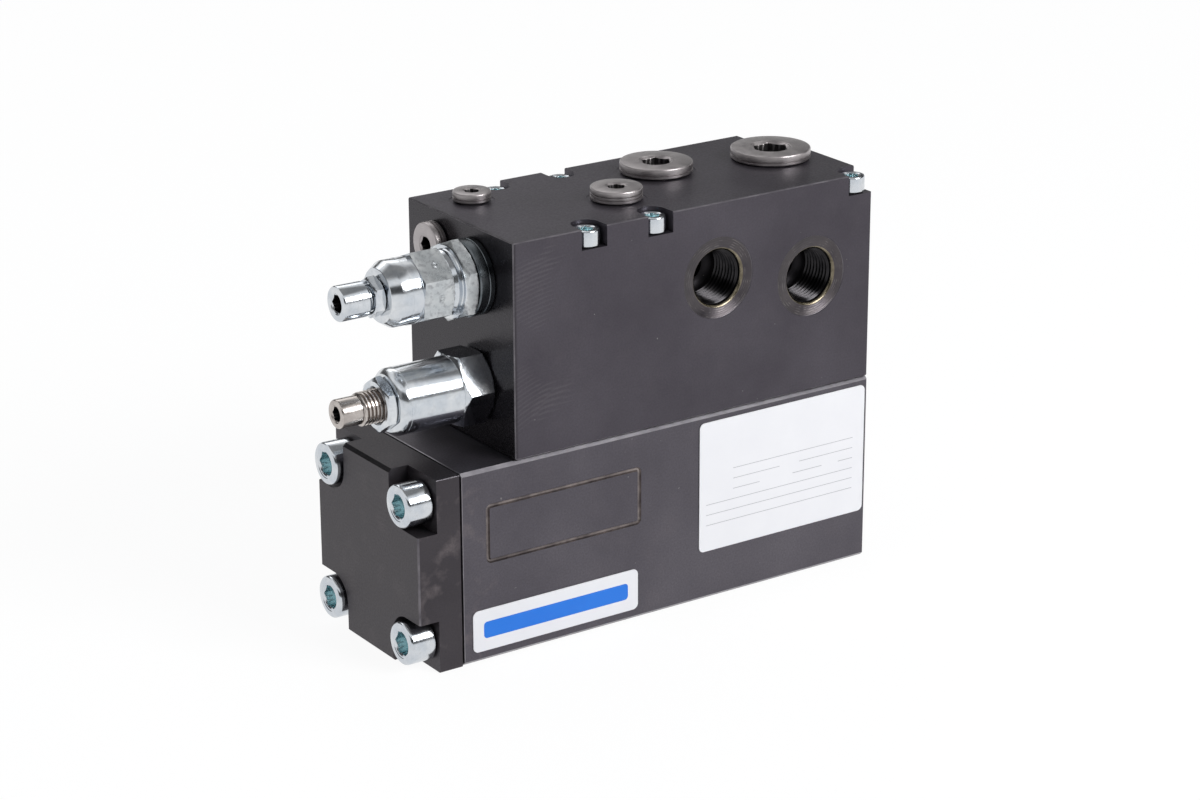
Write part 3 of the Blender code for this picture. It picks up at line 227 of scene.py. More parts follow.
def blackened_steel(name, mill_direction, dark, pale, smudges=0.50, arcs=False):
    """Black oxide on milled steel, with cutter marks, an oil film, smudges near the joint and bright specks.

    With arcs it has the face mill's arcs by the manifold's left edge, and a smoother left face darkened by
    painted shade.
    """
    rubbed = (0.21, 0.18, 0.185)
    bright = (0.42, 0.41, 0.40)
    pitted = (0.035, 0.032, 0.036)
    milled = (0.15, 0.14, 0.15)
    # the colour of the painted shade on the manifold's left face
    painted_shade = (0.020, 0.018, 0.021)
    look = Look(name, metallic=0.75)
    cloud = look.noise(22, 4)
    grain = look.noise(1400, 3)
    parts = look.add("ShaderNodeSeparateXYZ")
    look.link(look.place, parts.inputs[0])
    x = parts.outputs["X"]
    near_joint = look.range(x, JOINT_X + 0.008, JOINT_X + 0.022, 1.0, 0.12)
    in_front = look.range(parts.outputs["Y"], FRONT + 0.0004, FRONT + 0.0015, 1.0, 0.15)
    blotch = look.times(look.range(look.noise(95, 4), 0.54, 0.72, 0.0, smudges), in_front)
    speck = look.range(look.noise(620, 1), 0.80, 0.86, 0.0, 0.5)
    colour = look.mix(look.range(cloud, 0.3, 0.7, 0.0, 1.0), dark, pale)
    colour = look.mix(look.times(blotch, near_joint), colour, rubbed)
    colour = look.mix(speck, colour, bright)
    colour = look.mix(look.range(grain, 0.35, 0.65, 0.0, 0.22), colour, pitted)
    strength = look.range(look.noise(40, 2), 0.46, 0.62, 0.0, 1.0 if arcs else 0.35)
    marks = look.times(look.bands(0.0021, mill_direction, 0.7), strength)
    if arcs:
        swirl = look.rings(0.0016, "Y", 0.6, look.shifted(-0.030, 0.035))
        patch = look.range(look.noise(28, 1), 0.50, 0.60, 0.0, 0.9)
        by_left_edge = look.range(x, MANIFOLD_LEFT + 0.012, MANIFOLD_LEFT + 0.040, 1.0, 0.12)
        marks = look.math("ADD", marks, look.times(swirl, patch))
        marks = look.times(marks, look.times(by_left_edge, in_front))
    colour = look.mix(look.range(marks, 0.5, 1.0, 0.0, 0.20), colour, milled)
    rough = look.range(look.math("ADD", grain, look.times(cloud, 0.8)), 0.6, 1.2, 0.33, 0.50)
    if arcs:
        # Painted shade: the manifold's left face, where the valves shade it, is mixed towards a near-black
        # colour, and it is also made smoother.
        left_face = look.range(x, MANIFOLD_LEFT + 0.0004, MANIFOLD_LEFT + 0.0015, 1.0, 0.0)
        colour = look.mix(look.times(left_face, 0.75), colour, painted_shade)
        rough = look.math("SUBTRACT", rough, look.times(left_face, 0.14))
    height = look.math("ADD", look.times(marks, 0.9), look.times(grain, 0.5))
    return look.finish(colour, rough, height, 0.45, 0.00007)


def zinc_plate(name, low, high, roughness, bump, speckle):
    """Bright zinc: bluish and slightly cloudy, with lathe or tumbling marks."""
    stained = (0.30, 0.31, 0.33)
    look = Look(name, metallic=1.0)
    cloud = look.noise(140, 3)
    grain = look.noise(2600, 3)
    colour = look.mix(look.range(cloud, 0.32, 0.68, 0.0, 1.0), low, high)
    colour = look.mix(look.range(look.noise(520, 4), 0.50, 0.68, 0.0, speckle), colour, stained)
    spread = look.math("ADD", look.times(cloud, 0.6), look.times(grain, 0.4))
    rough = look.range(spread, 0.35, 0.65, roughness * 0.75, roughness * 1.3)
    return look.finish(colour, rough, grain, bump, 0.00004)


def turned_steel(name, low, high, roughness, period):
    """Bare steel off the lathe: fine rings around the piece's own axis."""
    look = Look(name, metallic=1.0)
    rings = look.rings(period, "Z", 0.4)
    cloud = look.noise(240, 4)
    colour = look.mix(look.range(cloud, 0.3, 0.7, 0.0, 1.0), low, high)
    colour = look.mix(look.range(rings, 0.0, 1.0, 0.0, 0.30), colour, tuple(value * 0.55 for value in low))
    rough = look.range(cloud, 0.3, 0.7, roughness * 0.85, roughness * 1.15)
    height = look.math("ADD", rings, look.times(look.noise(1800, 2), 0.3))
    return look.finish(colour, rough, height, 0.22, 0.00004)


def rubber(name):
    look = Look(name, roughness=0.55)
    colour = look.mix(look.noise(900, 3), (0.012, 0.012, 0.013), (0.035, 0.034, 0.034))
    rough = look.range(look.noise(300, 2), 0.3, 0.7, 0.42, 0.66)
    return look.finish(colour, rough, look.noise(3500, 2), 0.3, 0.00004)


def film(name, low, high, roughness):
    """Printed plastic film, with the faint ripple of a laminate."""
    look = Look(name, roughness=roughness)
    colour = look.mix(look.noise(60, 3), low, high)
    rough = look.range(look.noise(240, 3), 0.3, 0.7, roughness * 0.85, roughness * 1.2)
    return look.finish(colour, rough, look.noise(160, 2), 0.15, 0.00004)


def edge_highlight(name, dark, pale):
    """A machined edge painted brighter: a painted highlight where it would catch the light."""
    look = Look(name, metallic=0.9)
    colour = look.mix(look.range(look.noise(160, 4), 0.35, 0.65, 0.0, 1.0), dark, pale)
    rough = look.range(look.noise(500, 2), 0.3, 0.7, 0.30, 0.40)
    return look.finish(colour, rough, look.noise(1500, 3), 0.15, 0.00004)


def spot_face(name, x, z):
    """The faced ring around a port, with the cutter's circles around the port's own axis."""
    look = Look(name, metallic=0.75)
    circles = look.rings(0.0009, "Y", 0.25, look.shifted(x, z))
    cloud = look.range(look.noise(120, 3), 0.3, 0.7, 0.0, 1.0)
    streaks = look.range(look.noise(260, 2), 0.52, 0.64, 0.0, 1.0)
    scratch = look.times(look.range(circles, 0.86, 1.0, 0.0, 0.5), streaks)
    colour = look.mix(cloud, (0.052, 0.046, 0.053), (0.086, 0.076, 0.080))
    colour = look.mix(scratch, colour, (0.36, 0.34, 0.33))
    return look.finish(colour, look.range(cloud, 0.0, 1.0, 0.30, 0.44), circles, 0.4, 0.00005)


STEEL_MANIFOLD = blackened_steel("blackened_steel_manifold", "Z",
                                 (0.058, 0.0515, 0.064), (0.088, 0.080, 0.096), smudges=0.30, arcs=True)
STEEL_CYLINDER = blackened_steel("blackened_steel_cylinder", "X",
                                 (0.082, 0.075, 0.090), (0.122, 0.113, 0.131))
STEEL_COVER = blackened_steel("blackened_steel_cover", "Z", (0.043, 0.038, 0.044), (0.065, 0.058, 0.065))
# Painted shade: near-black steel inside the ports and on the end cover's top-left chamfer.
SHADE_STEEL = blackened_steel("painted_shade_steel", "Y", (0.008, 0.007, 0.009), (0.016, 0.014, 0.017),
                             smudges=0.0)
# Painted highlights: brighter steel on the blocks' rounded and broken edges, the softer one on the manifold
# and the cover.
EDGE_HIGHLIGHT = edge_highlight("edge_highlight_steel", (0.21, 0.20, 0.22), (0.28, 0.27, 0.29))
SOFT_EDGE_HIGHLIGHT = edge_highlight("soft_edge_highlight_steel", (0.10, 0.093, 0.105), (0.17, 0.16, 0.175))
# The groove's slopes: brownish steel, painted lighter as a painted highlight.
GROOVE_STEEL = edge_highlight("groove_steel_and_sheen", (0.11, 0.095, 0.095), (0.28, 0.245, 0.235))
MOUTH_STEEL = turned_steel("port_mouth_steel", (0.10, 0.085, 0.06), (0.34, 0.30, 0.22), 0.26, 0.0004)
# Painted shade: the port threads are near-black steel, as the inside of a port is in shade.
THREAD_SHADE_STEEL = turned_steel("port_thread_shade_steel", (0.012, 0.012, 0.013), (0.036, 0.034, 0.036), 0.20, 0.0006)
ZINC = zinc_plate("bright_zinc", (0.52, 0.56, 0.61), (0.68, 0.70, 0.72), 0.16, 0.12, 0.15)
ZINC_MATT = zinc_plate("tumbled_zinc", (0.46, 0.49, 0.51), (0.68, 0.70, 0.71), 0.33, 0.70, 0.75)
ZINC_TEAL = zinc_plate("passivated_zinc", (0.46, 0.64, 0.68), (0.74, 0.86, 0.88), 0.28, 0.25, 0.20)
PLUG_STEEL = turned_steel("turned_plug_steel", (0.37, 0.345, 0.35), (0.50, 0.47, 0.47), 0.38, 0.0006)
BARE_STEEL = turned_steel("turned_bare_steel", (0.42, 0.38, 0.36), (0.60, 0.56, 0.53), 0.24, 0.0005)
# Painted shade: dark steel on the walls of the plugs' and adjusting screws' hexagon sockets.
SOCKET_SHADE = turned_steel("socket_shade_steel", (0.05, 0.05, 0.055), (0.16, 0.15, 0.15), 0.35, 0.0005)
DARK_STEEL = turned_steel("hardened_dark_steel", (0.085, 0.10, 0.11), (0.17, 0.185, 0.20), 0.26, 0.0006)
GROUND_STEEL = turned_steel("ground_inner_steel", (0.46, 0.46, 0.47), (0.62, 0.62, 0.62), 0.22, 0.0009)
SPRING_STEEL = zinc_plate("spring_wire", (0.38, 0.39, 0.41), (0.58, 0.59, 0.60), 0.25, 0.20, 0.25)
RUBBER = rubber("nitrile_rubber")
WHITE_FILM = film("white_film_face", (0.84, 0.84, 0.87), (0.90, 0.90, 0.92), 0.34)
BLUE_INK = film("blue_ink", (0.004, 0.16, 0.72), (0.010, 0.21, 0.80), 0.38)
GREY_INK = film("grey_ink", (0.40, 0.40, 0.43), (0.50, 0.50, 0.53), 0.45)


# Meshes
def add_object(name, body, materials):
    """Makes an object of a bmesh."""
    mesh = bpy.data.meshes.new(name)
    body.to_mesh(mesh)
    body.free()
    for material in materials:
        mesh.materials.append(material)
    made = bpy.data.objects.new(name, mesh)
    bpy.context.scene.collection.objects.link(made)
    return made


def shade(piece, sharp=30):
    """Smooth shading, except over edges that turn by more than sharp degrees."""
    piece.data.shade_smooth()
    piece.data.set_sharp_from_angle(angle=math.radians(sharp))


def finish_mesh(name, body, materials, matrix=HERE, sharp=30):
    bmesh.ops.remove_doubles(body, verts=body.verts, dist=1e-7)
    bmesh.ops.dissolve_degenerate(body, edges=body.edges, dist=1e-7)
    bmesh.ops.recalc_face_normals(body, faces=body.faces)
    made = add_object(name, body, materials)
    shade(made, sharp)
    made.matrix_world = matrix
    return made


def place_matrix(place, direction):
    """Local Z along direction, and angle zero towards the front, or towards +X on an upright piece."""
    along = Vector(direction).normalized()
    zero = Vector(OUT_RIGHT) if abs(along.x) < 0.5 else Vector(OUT_FRONT)
    side = along.cross(zero)
    return Matrix.Translation(Vector(place)) @ Matrix((zero, side, along)).transposed().to_4x4()


def angles(count):
    """A full turn in count steps."""
    return [2 * math.pi * index / count for index in range(count)]


def hexagon_corner(flats):
    """The distance of a hexagon's corners from its middle."""
    return flats / 2 / math.cos(math.pi / 6)


def reach(angle, ring):
    """A ring is (distance, radius), or a hexagon: (distance, half width, round limit, round widening)."""
    if len(ring) == 2:
        return ring[1]
    from_flat = angle % (math.pi / 3) - math.pi / 6
    far = min(ring[1] / math.cos(from_flat), ring[2])
    return max(far, ring[3]) if len(ring) == 4 else far


def skin(body, loops, hollow=False, material_of=lambda row: 0):
    """Joins each loop to the next. If hollow it joins the last to the first, else it closes both ends."""
    pairs = list(zip(loops, loops[1:]))
    if hollow:
        pairs.append((loops[-1], loops[0]))
    count = len(loops[0])
    for row, (lower, upper) in enumerate(pairs):
        for index in range(count):
            after = (index + 1) % count
            face = body.faces.new((lower[index], lower[after], upper[after], upper[index]))
            face.material_index = material_of(row)
    if not hollow:
        body.faces.new(loops[0][::-1]).material_index = material_of(0)
        body.faces.new(loops[-1]).material_index = material_of(len(loops))


def add_turned(body, rings, turn=0.0, hollow=False, paint=()):
    """Adds a turned shape. Paint holds (first row, material index), in order."""

    def painted(row):
        index = 0
        for first, value in paint:
            if row >= first:
                index = value
        return index

    loops = []
    for ring in rings:
        loop = []
        for angle in angles(SIDES):
            far = reach(angle, ring)
            loop.append(body.verts.new((far * math.cos(angle + turn), far * math.sin(angle + turn), ring[0])))
        loops.append(loop)
    skin(body, loops, hollow, painted)


def turned(name, rings, place, direction, materials, turn=0.0, hollow=False, paint=()):
    body = bmesh.new()
    add_turned(body, rings, turn, hollow, paint)
    return finish_mesh(name, body, materials, place_matrix(place, direction))


def add_thread(body, start, end, root, crest, pitch):
    """An outside thread on a rod, as one helix that runs out into its root at both ends."""
    columns = 36
    steps = 6
    profile = (root, root, crest, crest, crest, root)
    total = (math.ceil((end - start) / pitch) + 2) * steps
    rows = []
    for step in range(total + 1):
        row = []
        for column, angle in enumerate(angles(columns)):
            distance = start - pitch + (step / steps + column / columns) * pitch
            held = min(max(distance, start), end)
            room = min(held - start, end - held) / (pitch * 0.4)
            radius = root + (profile[step % steps] - root) * min(max(room, 0.0), 1.0)
            row.append(body.verts.new((radius * math.cos(angle), radius * math.sin(angle), held)))
        rows.append(row)
    for step in range(total):
        here = rows[step]
        above = rows[step + 1]
        for column in range(columns - 1):
            body.faces.new((here[column], here[column + 1], above[column + 1], above[column]))
        if step + steps < total:
            body.faces.new((here[-1], rows[step + steps][0], rows[step + steps + 1][0], above[-1]))
    body.faces.new(rows[0][::-1])
    body.faces.new(rows[-1])


def chamfered_hex(start, end, flats, upper=True):
    """Rings of a hexagon with its corners turned off at 30 degrees at its start and, with upper, its end."""
    half = flats / 2
    corner = hexagon_corner(flats)
    face = half * 0.97
    steps = 6
    depth = (corner - face) * math.tan(math.radians(30))
    cone = [(depth * step / steps, face + (corner - face) * step / steps) for step in range(steps + 1)]
    rings = [(start + rise, half, limit) for rise, limit in cone]
    if upper:
        rings += [(end - rise, half, limit) for rise, limit in reversed(cone)]
    else:
        rings.append((end, half, corner))
    return rings


def rounded(start, radius, edge):
    """Rings that round an outer edge over, ending flat at start."""
    rings = []
    for step in range(4):
        angle = math.radians(30 * step)
        rings.append((start - edge * (1 - math.sin(angle)), radius - edge * (1 - math.cos(angle))))
    return rings


def cut_socket(rings, face, flats, depth, mouth, sink):
    """Adds a recess and a countersunk hexagon socket to the rings, and gives the first row of its walls."""
    outer, inner = mouth
    floor = face - sink
    half = flats / 2
    countersink = hexagon_corner(flats) * 1.03
    steps = 5
    rings += [(face, outer), (floor, inner)]
    walls = len(rings) + steps
    rings.append((floor, countersink))
    for step in range(1, steps + 1):
        cone = countersink + (half - countersink) * step / steps
        rings.append((floor - (countersink - cone) * 0.6, half, flats, cone))
    bottom = floor - depth
    rings += [(bottom, half, flats), (bottom, half * 0.93), (bottom - half * 0.45, half * 0.02)]
    return walls


def ride_as(piece, node, body):
    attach(piece, body)
    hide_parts(node)


# Fasteners and plugs
def screw_piece(node, direction, radius, length, head_radius, head_height, flats):
    """A socket head cap screw whose place comes from its CAD node's box."""
    low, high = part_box(node)
    outward = Vector(direction)
    half_length = abs((high - low).dot(outward)) / 2
    place = centre(node) + outward * (half_length - head_height)
    edge = head_radius * 0.12
    recess = hexagon_corner(flats) * 1.20
    rings = [(-length, radius * 0.8), (-length + radius * 0.3, radius), (-0.0002, radius),
             (0, head_radius - edge * 0.5), (edge * 0.5, head_radius)]
    rings += rounded(head_height, head_radius, edge)
    walls = cut_socket(rings, head_height, flats, head_height * 0.5, (recess, recess - 0.0002), 0.00015)
    piece = turned(f"{node}_steel", rings, place, direction, [ZINC, ZINC_TEAL], paint=((walls, 1),))
    ride_as(piece, node, "root")


def plug_piece(node, place, direction, collar, height, thread, depth, flats, grooves):
    """A collared screw plug: turned collar, groove lines and a hexagon socket."""
    chamfer = 0.0004
    rings = [(-depth, thread - 0.001), (-depth + 0.001, thread), (GAP, thread), (GAP, collar - chamfer),
             (GAP + chamfer, collar)]
    for share in grooves:
        middle = height * share
        rings += [(middle - 0.00028, collar), (middle - 0.00012, collar - chamfer),
                  (middle + 0.00012, collar - chamfer), (middle + 0.00028, collar)]
    rings += rounded(height, collar, 0.0006)
    recess = hexagon_corner(flats) * 1.12
    walls = cut_socket(rings, height, flats, min(0.0055, depth * 0.7), (recess + 0.0002, recess), 0.0002)
    # The socket's walls take the second material, painted shade.
    piece = turned(f"{node}_steel", rings, place, direction, [PLUG_STEEL, SOCKET_SHADE], paint=((walls, 1),))
    ride_as(piece, node, "root")


def make_fasteners():
    for index in range(1, 5):
        screw_piece(f"end_cover_screw_{index}", OUT_LEFT, **M10)
    for index in range(1, 7):
        screw_piece(f"manifold_screw_{index}", UP, **M6)


def make_plugs():
    for node, sizes in PLUGS.items():
        place = centre(node)
        if node == "end_plug":
            place.x = MANIFOLD_LEFT
            plug_piece(node, place, OUT_LEFT, *sizes)
        else:
            place.z = MANIFOLD_TOP
            plug_piece(node, place, UP, *sizes)


# Cartridge valves
def inner_chamber(face, clearance):
    """Rings down a valve body's bore, from its outer end to its threaded end."""
    chamber = 0.0076
    return [(face, clearance + 0.0004), (face - 0.0004, clearance), (0.031, clearance), (0.031, chamber),
            (-0.026, chamber)]


def threaded_end(start):
    """Rings of a valve body inside the block, up to where its outside begins."""
    thread = 0.0106
    neck = 0.0086
    return [(-0.026, thread - 0.0008), (-0.0252, thread), (-0.004, thread), (-0.004, neck), (start, neck)]


def scored(start, end, radius, depth):
    """Rings of a fine line turned into a barrel."""
    slope = 0.0001
    return [(start, radius), (start + slope, radius - depth), (end - slope, radius - depth), (end, radius)]


def punched_dot(body, out, angle, distance, radius):
    """A small raised rim around a punched dot, on a hexagon facet whose middle stands at angle."""
    outward = Vector((math.cos(angle), math.sin(angle), 0))
    side = Vector((-math.sin(angle), math.cos(angle), 0))
    middle = outward * distance + Vector(UP) * out
    loops = []
    for turn in angles(24):
        spoke = side * math.cos(turn) + Vector(UP) * math.sin(turn)
        loop = []
        for roll in angles(8):
            away = spoke * (1 + 0.35 * math.cos(roll)) + outward * 0.25 * math.sin(roll)
            loop.append(body.verts.new(middle + away * radius))
        loops.append(loop)
    skin(body, loops, hollow=True)


def make_relief_valve():
    """A dark collar, a wrench hexagon, a neck, a tumbled hexagon with two punched dots, and a barrel."""
    turn = math.radians(23)
    place = (MANIFOLD_LEFT, VALVE_Y, RELIEF_Z)
    seat = 0.01065
    rim = 0.0140
    line = rim - 0.00015
    collar = [(GAP, seat), (GAP, line), (0.0005, rim), (0.0022, rim), (0.0024, line), (0.0027, line),
              (0.0029, rim), (0.0058, rim), (0.0063, rim - 0.0005), (0.0063, seat)]
    piece = turned("relief_collar_steel", collar, place, OUT_LEFT, [DARK_STEEL], hollow=True)
    ride_as(piece, "relief_valve_collar", "root")

    barrel = 0.0120
    end = 0.0400
    rings = threaded_end(0.0066)
    rings += chamfered_hex(0.0066, 0.0120, 0.0270)
    rings += [(0.0120, 0.0119), (0.0124, 0.0116), (0.0131, 0.0116), (0.0139, 0.0119), (0.0148, 0.0116),
              (0.0155, 0.0114)]
    rings += chamfered_hex(0.0155, 0.0280, barrel * 2, upper=False)
    rings += scored(0.0280, 0.0287, barrel, 0.00015)
    rings += scored(0.0320, 0.0324, barrel, 0.00007)
    rings += [(0.0364, barrel), (0.0367, 0.01188), (end - 0.0001, 0.0098), (end, 0.0096)]
    rings += inner_chamber(end, 0.0053)
    body = bmesh.new()
    add_turned(body, rings, turn, hollow=True)
    for facet in (-30, 30):
        punched_dot(body, 0.0210, turn + math.radians(facet), barrel, 0.0009)
    for face in body.faces:
        middle = face.calc_center_median()
        on_hexagon = 0.0160 < middle.z < 0.0279 or 0.0070 < middle.z < 0.0118
        if on_hexagon and math.hypot(middle.x, middle.y) > barrel - 0.0001:
            face.material_index = 1
    piece = finish_mesh("relief_body_zinc", body, [ZINC, ZINC_MATT], place_matrix(place, OUT_LEFT), sharp=25)
    ride_as(piece, "relief_valve_body", "root")
    nut_piece("relief", place, start=0.0403, flats=0.0130, bore=0.0053)
    adjusting_screw_piece("relief", place, shank=0.0050, shank_end=0.0460, knob=0.0064, knob_length=0.0106,
                          flats=0.006, pitch=0.00125, material=ZINC)


def make_sequence_valve():
    """A wrench hexagon against the block, and a plain barrel with its cone."""
    place = (MANIFOLD_LEFT, VALVE_Y, SEQUENCE_Z)
    barrel = 0.0123
    end = 0.0380
    rings = threaded_end(GAP)
    rings += chamfered_hex(GAP, 0.0126, 0.0254)
    rings += [(0.0126, barrel + 0.0001), (0.0129, barrel)]
    rings += scored(0.0340, 0.0344, barrel, 0.00008)
    rings += [(0.0355, barrel), (0.0360, 0.0121), (end - 0.0001, 0.0106), (end, 0.0104)]
    rings += inner_chamber(end, 0.0064)
    piece = turned("sequence_body_zinc", rings, place, OUT_LEFT, [ZINC], math.radians(4), hollow=True)
    ride_as(piece, "sequence_valve_body", "root")
    nut_piece("sequence", place, start=0.0383, flats=0.0180, bore=0.0064)
    adjusting_screw_piece("sequence", place, shank=0.0061, shank_end=0.0495, knob=0.0053, knob_length=0.0087,
                          flats=0.005, pitch=0.0015, material=BARE_STEEL)


def nut_piece(name, place, start, flats, bore):
    end = start + 0.0040
    mouth = bore + 0.0007
    rings = chamfered_hex(start, end, flats)
    rings += [(end, mouth), (end - 0.0007, bore), (start + 0.0007, bore), (start, mouth)]
    piece = turned(f"{name}_nut_zinc", rings, place, OUT_LEFT, [ZINC], math.radians(34), hollow=True)
    ride_as(piece, f"{name}_lock_nut", f"{name}_nut")


def adjusting_screw_piece(name, place, shank, shank_end, knob, knob_length, flats, pitch, material):
    """The threaded shank, its knob and the key's socket."""
    end = shank_end + knob_length
    root = shank - pitch * 0.55
    tip = 0.0243
    body = bmesh.new()
    add_thread(body, tip, shank_end + 0.0002, root, shank, pitch)
    rings = [(shank_end, root * 0.5), (shank_end, knob - 0.0005), (shank_end + 0.0005, knob)]
    rings += rounded(end, knob, 0.0007)
    mouth = hexagon_corner(flats) * 1.08
    walls = cut_socket(rings, end, flats, 0.0052, (mouth + 0.0002, mouth - 0.0001), 0.0003)
    # The socket's walls take the second material, painted shade.
    add_turned(body, rings, paint=((walls, 1),))
    piece = finish_mesh(f"{name}_screw_steel", body, [material, SOCKET_SHADE], place_matrix(place, OUT_LEFT))
    ride_as(piece, f"{name}_adjusting_screw", f"{name}_screw")


# Blocks
def copy_of(node, name, materials):
    """A copy of a CAD node's mesh, welded so that it can be cut further."""
    body = bmesh.new()
    body.from_mesh(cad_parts[node].data)
    bmesh.ops.remove_doubles(body, verts=body.verts, dist=1e-6)
    bmesh.ops.dissolve_limit(body, angle_limit=math.radians(0.5), verts=body.verts, edges=body.edges)
    for face in body.faces:
        face.material_index = 0
    return add_object(name, body, materials)


def carve(target, tools, operation="DIFFERENCE"):
    """Applies the cuts and removes the tools."""
    for tool in tools:
        modifier = target.modifiers.new(tool.name, "BOOLEAN")
        modifier.operation = operation
        modifier.solver = "EXACT"
        modifier.material_mode = "INDEX"
        modifier.object = tool
    bpy.context.view_layer.update()
    graph = bpy.context.evaluated_depsgraph_get()
    mesh = bpy.data.meshes.new_from_object(target.evaluated_get(graph))
    target.modifiers.clear()
    target.data = mesh
    for tool in tools:
        bpy.data.objects.remove(tool, do_unlink=True)


def finish_block(block, node):
    """Rounded edges shade smooth and take the second material, a painted edge highlight, and the large flat
    faces stay flat.
    """
    shade(block, 28)
    low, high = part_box(node)
    for face in block.data.polygons:
        along_axis = max(abs(value) for value in face.normal) > 0.99999
        if along_axis and (face.area > 3e-5 or len(face.vertices) > 8):
            face.use_smooth = False
        sides = [min(face.center[axis] - low[axis], high[axis] - face.center[axis]) for axis in range(3)]
        # the rounded and broken strips take the painted edge highlight
        if not along_axis and face.material_index == 0 and sorted(sides)[1] < BLOCK_EDGE:
            face.material_index = 1
    ride_as(block, node, "root")


def cutter(name, rings, place, direction, paint=()):
    return turned(name, rings, place, direction, [None] * 6, paint=paint)


def broken_hull(name, low, high, width, segments=2, only=None):
    """A box whose edges are broken. What it leaves of a block takes the second material there."""
    body = bmesh.new()
    bmesh.ops.create_cube(body, size=1.0)
    middle = (Vector(low) + Vector(high)) / 2
    for vertex in body.verts:
        for axis in range(3):
            vertex.co[axis] = middle[axis] + vertex.co[axis] * (high[axis] - low[axis])
    edges = [edge for edge in body.edges if only is None or only(edge)]
    bmesh.ops.bevel(body, geom=edges, offset=width, segments=segments, profile=0.5, affect="EDGES",
                    material=1)
    return finish_mesh(name, body, [None, None])


def prism_cutter(name, outline, start, end, axis, slot=0):
    """An outline of (first, second) points across axis, extruded from start to end."""
    body = bmesh.new()
    loops = []
    for level in (start, end):
        row = []
        for first, second in outline:
            point = {"X": (level, first, second), "Y": (first, level, second), "Z": (first, second, level)}
            row.append(body.verts.new(point[axis]))
        loops.append(row)
    skin(body, loops, material_of=lambda row: slot)
    return finish_mesh(name, body, [None] * 3)


def arc(middle, radius, start, end, steps):
    points = []
    for index in range(steps + 1):
        angle = math.radians(start + (end - start) * index / steps)
        points.append((middle[0] + radius * math.cos(angle), middle[1] + radius * math.sin(angle)))
    return points


def slot_cutter(name, x, y, radius, floor):
    """A screw's pocket, open past the front or back face, and past the end face on the last screws."""
    side = 1 if y > 0 else -1
    edge = side * (BACK + PAST)
    if RIGHT - x < 0.010:
        points = arc((x, y), radius, -90 * side, -180 * side, 14)
        outline = [(RIGHT + PAST, points[0][1]), *points, (points[-1][0], edge), (RIGHT + PAST, edge)]
    else:
        points = arc((x, y), radius, 0, -180 * side, 28)
        outline = [(x + radius, edge), *points, (x - radius, edge)]
    return prism_cutter(name, outline, floor, MANIFOLD_TOP + PAST, "Z")


def port_pieces(name, x, z, direction, reach_in, face_slot, face, bore, crest, pitch, depth, threaded, drill):
    """Makes the thread's ribs as a sleeve in a port, and gives the cutter of its facing, mouth and bore."""
    place = (x, FRONT if direction == OUT_FRONT else BACK, z)
    inward = tuple(-value for value in direction)
    sunk = 0.00031
    rings = [(-0.002, face + 0.0002), (0.00003, face + 0.0002), (sunk, face), (sunk, bore + 0.0009),
             (0.0012, bore), (depth, bore), (depth + 0.001, drill), (reach_in, drill)]
    # The rim takes the painted edge highlight, the facing the slot given for it, the mouth chamfer the mouth
    # steel, and the bore and drilling the painted shade.
    made = cutter(name, rings, place, inward, ((0, 1), (2, face_slot), (3, 4), (4, 5)))

    start = 0.0015
    wall = bore + 0.00002
    root = bore - 0.0001
    rings = [(start, wall), (threaded, wall), (threaded, root)]
    for index in range(int((threaded - start) / pitch)):
        base = threaded - index * pitch
        rings += [(base - pitch * 0.12, root), (base - pitch * 0.45, crest), (base - pitch * 0.58, crest),
                  (base - pitch * 0.90, root)]
    rings.append((start, root))
    # the thread's ribs take near-black steel, painted shade inside the port
    piece = turned(f"{name}_thread", rings, place, inward, [THREAD_SHADE_STEEL], hollow=True)
    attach(piece, "root")
    return made


def rounded_outline(left, right, bottom, top, radius, steps=10):
    points = arc((right - radius, top - radius), radius, 0, 90, steps)
    points += arc((left + radius, top - radius), radius, 90, 180, steps)
    points += arc((left + radius, bottom + radius), radius, 180, 270, steps)
    points += arc((right - radius, bottom + radius), radius, 270, 360, steps)
    return points


def groove_cutter(name, left, right, bottom, top, radius, width, depth):
    """A rectangular groove with rounded corners in the front face."""
    body = bmesh.new()
    loops = []
    for grow, level in ((0.0, FRONT - 0.001), (0.0, FRONT + 0.00003), (-width * 0.3, FRONT + depth),
                        (-width * 0.7, FRONT + depth), (-width, FRONT + 0.00003), (-width, FRONT - 0.001)):
        outline = rounded_outline(left - grow, right + grow, bottom - grow, top + grow, radius + grow)
        loops.append([body.verts.new((x, level, z)) for x, z in outline])
    skin(body, loops, True, lambda row: 2)
    return finish_mesh(name, body, [None] * 3)


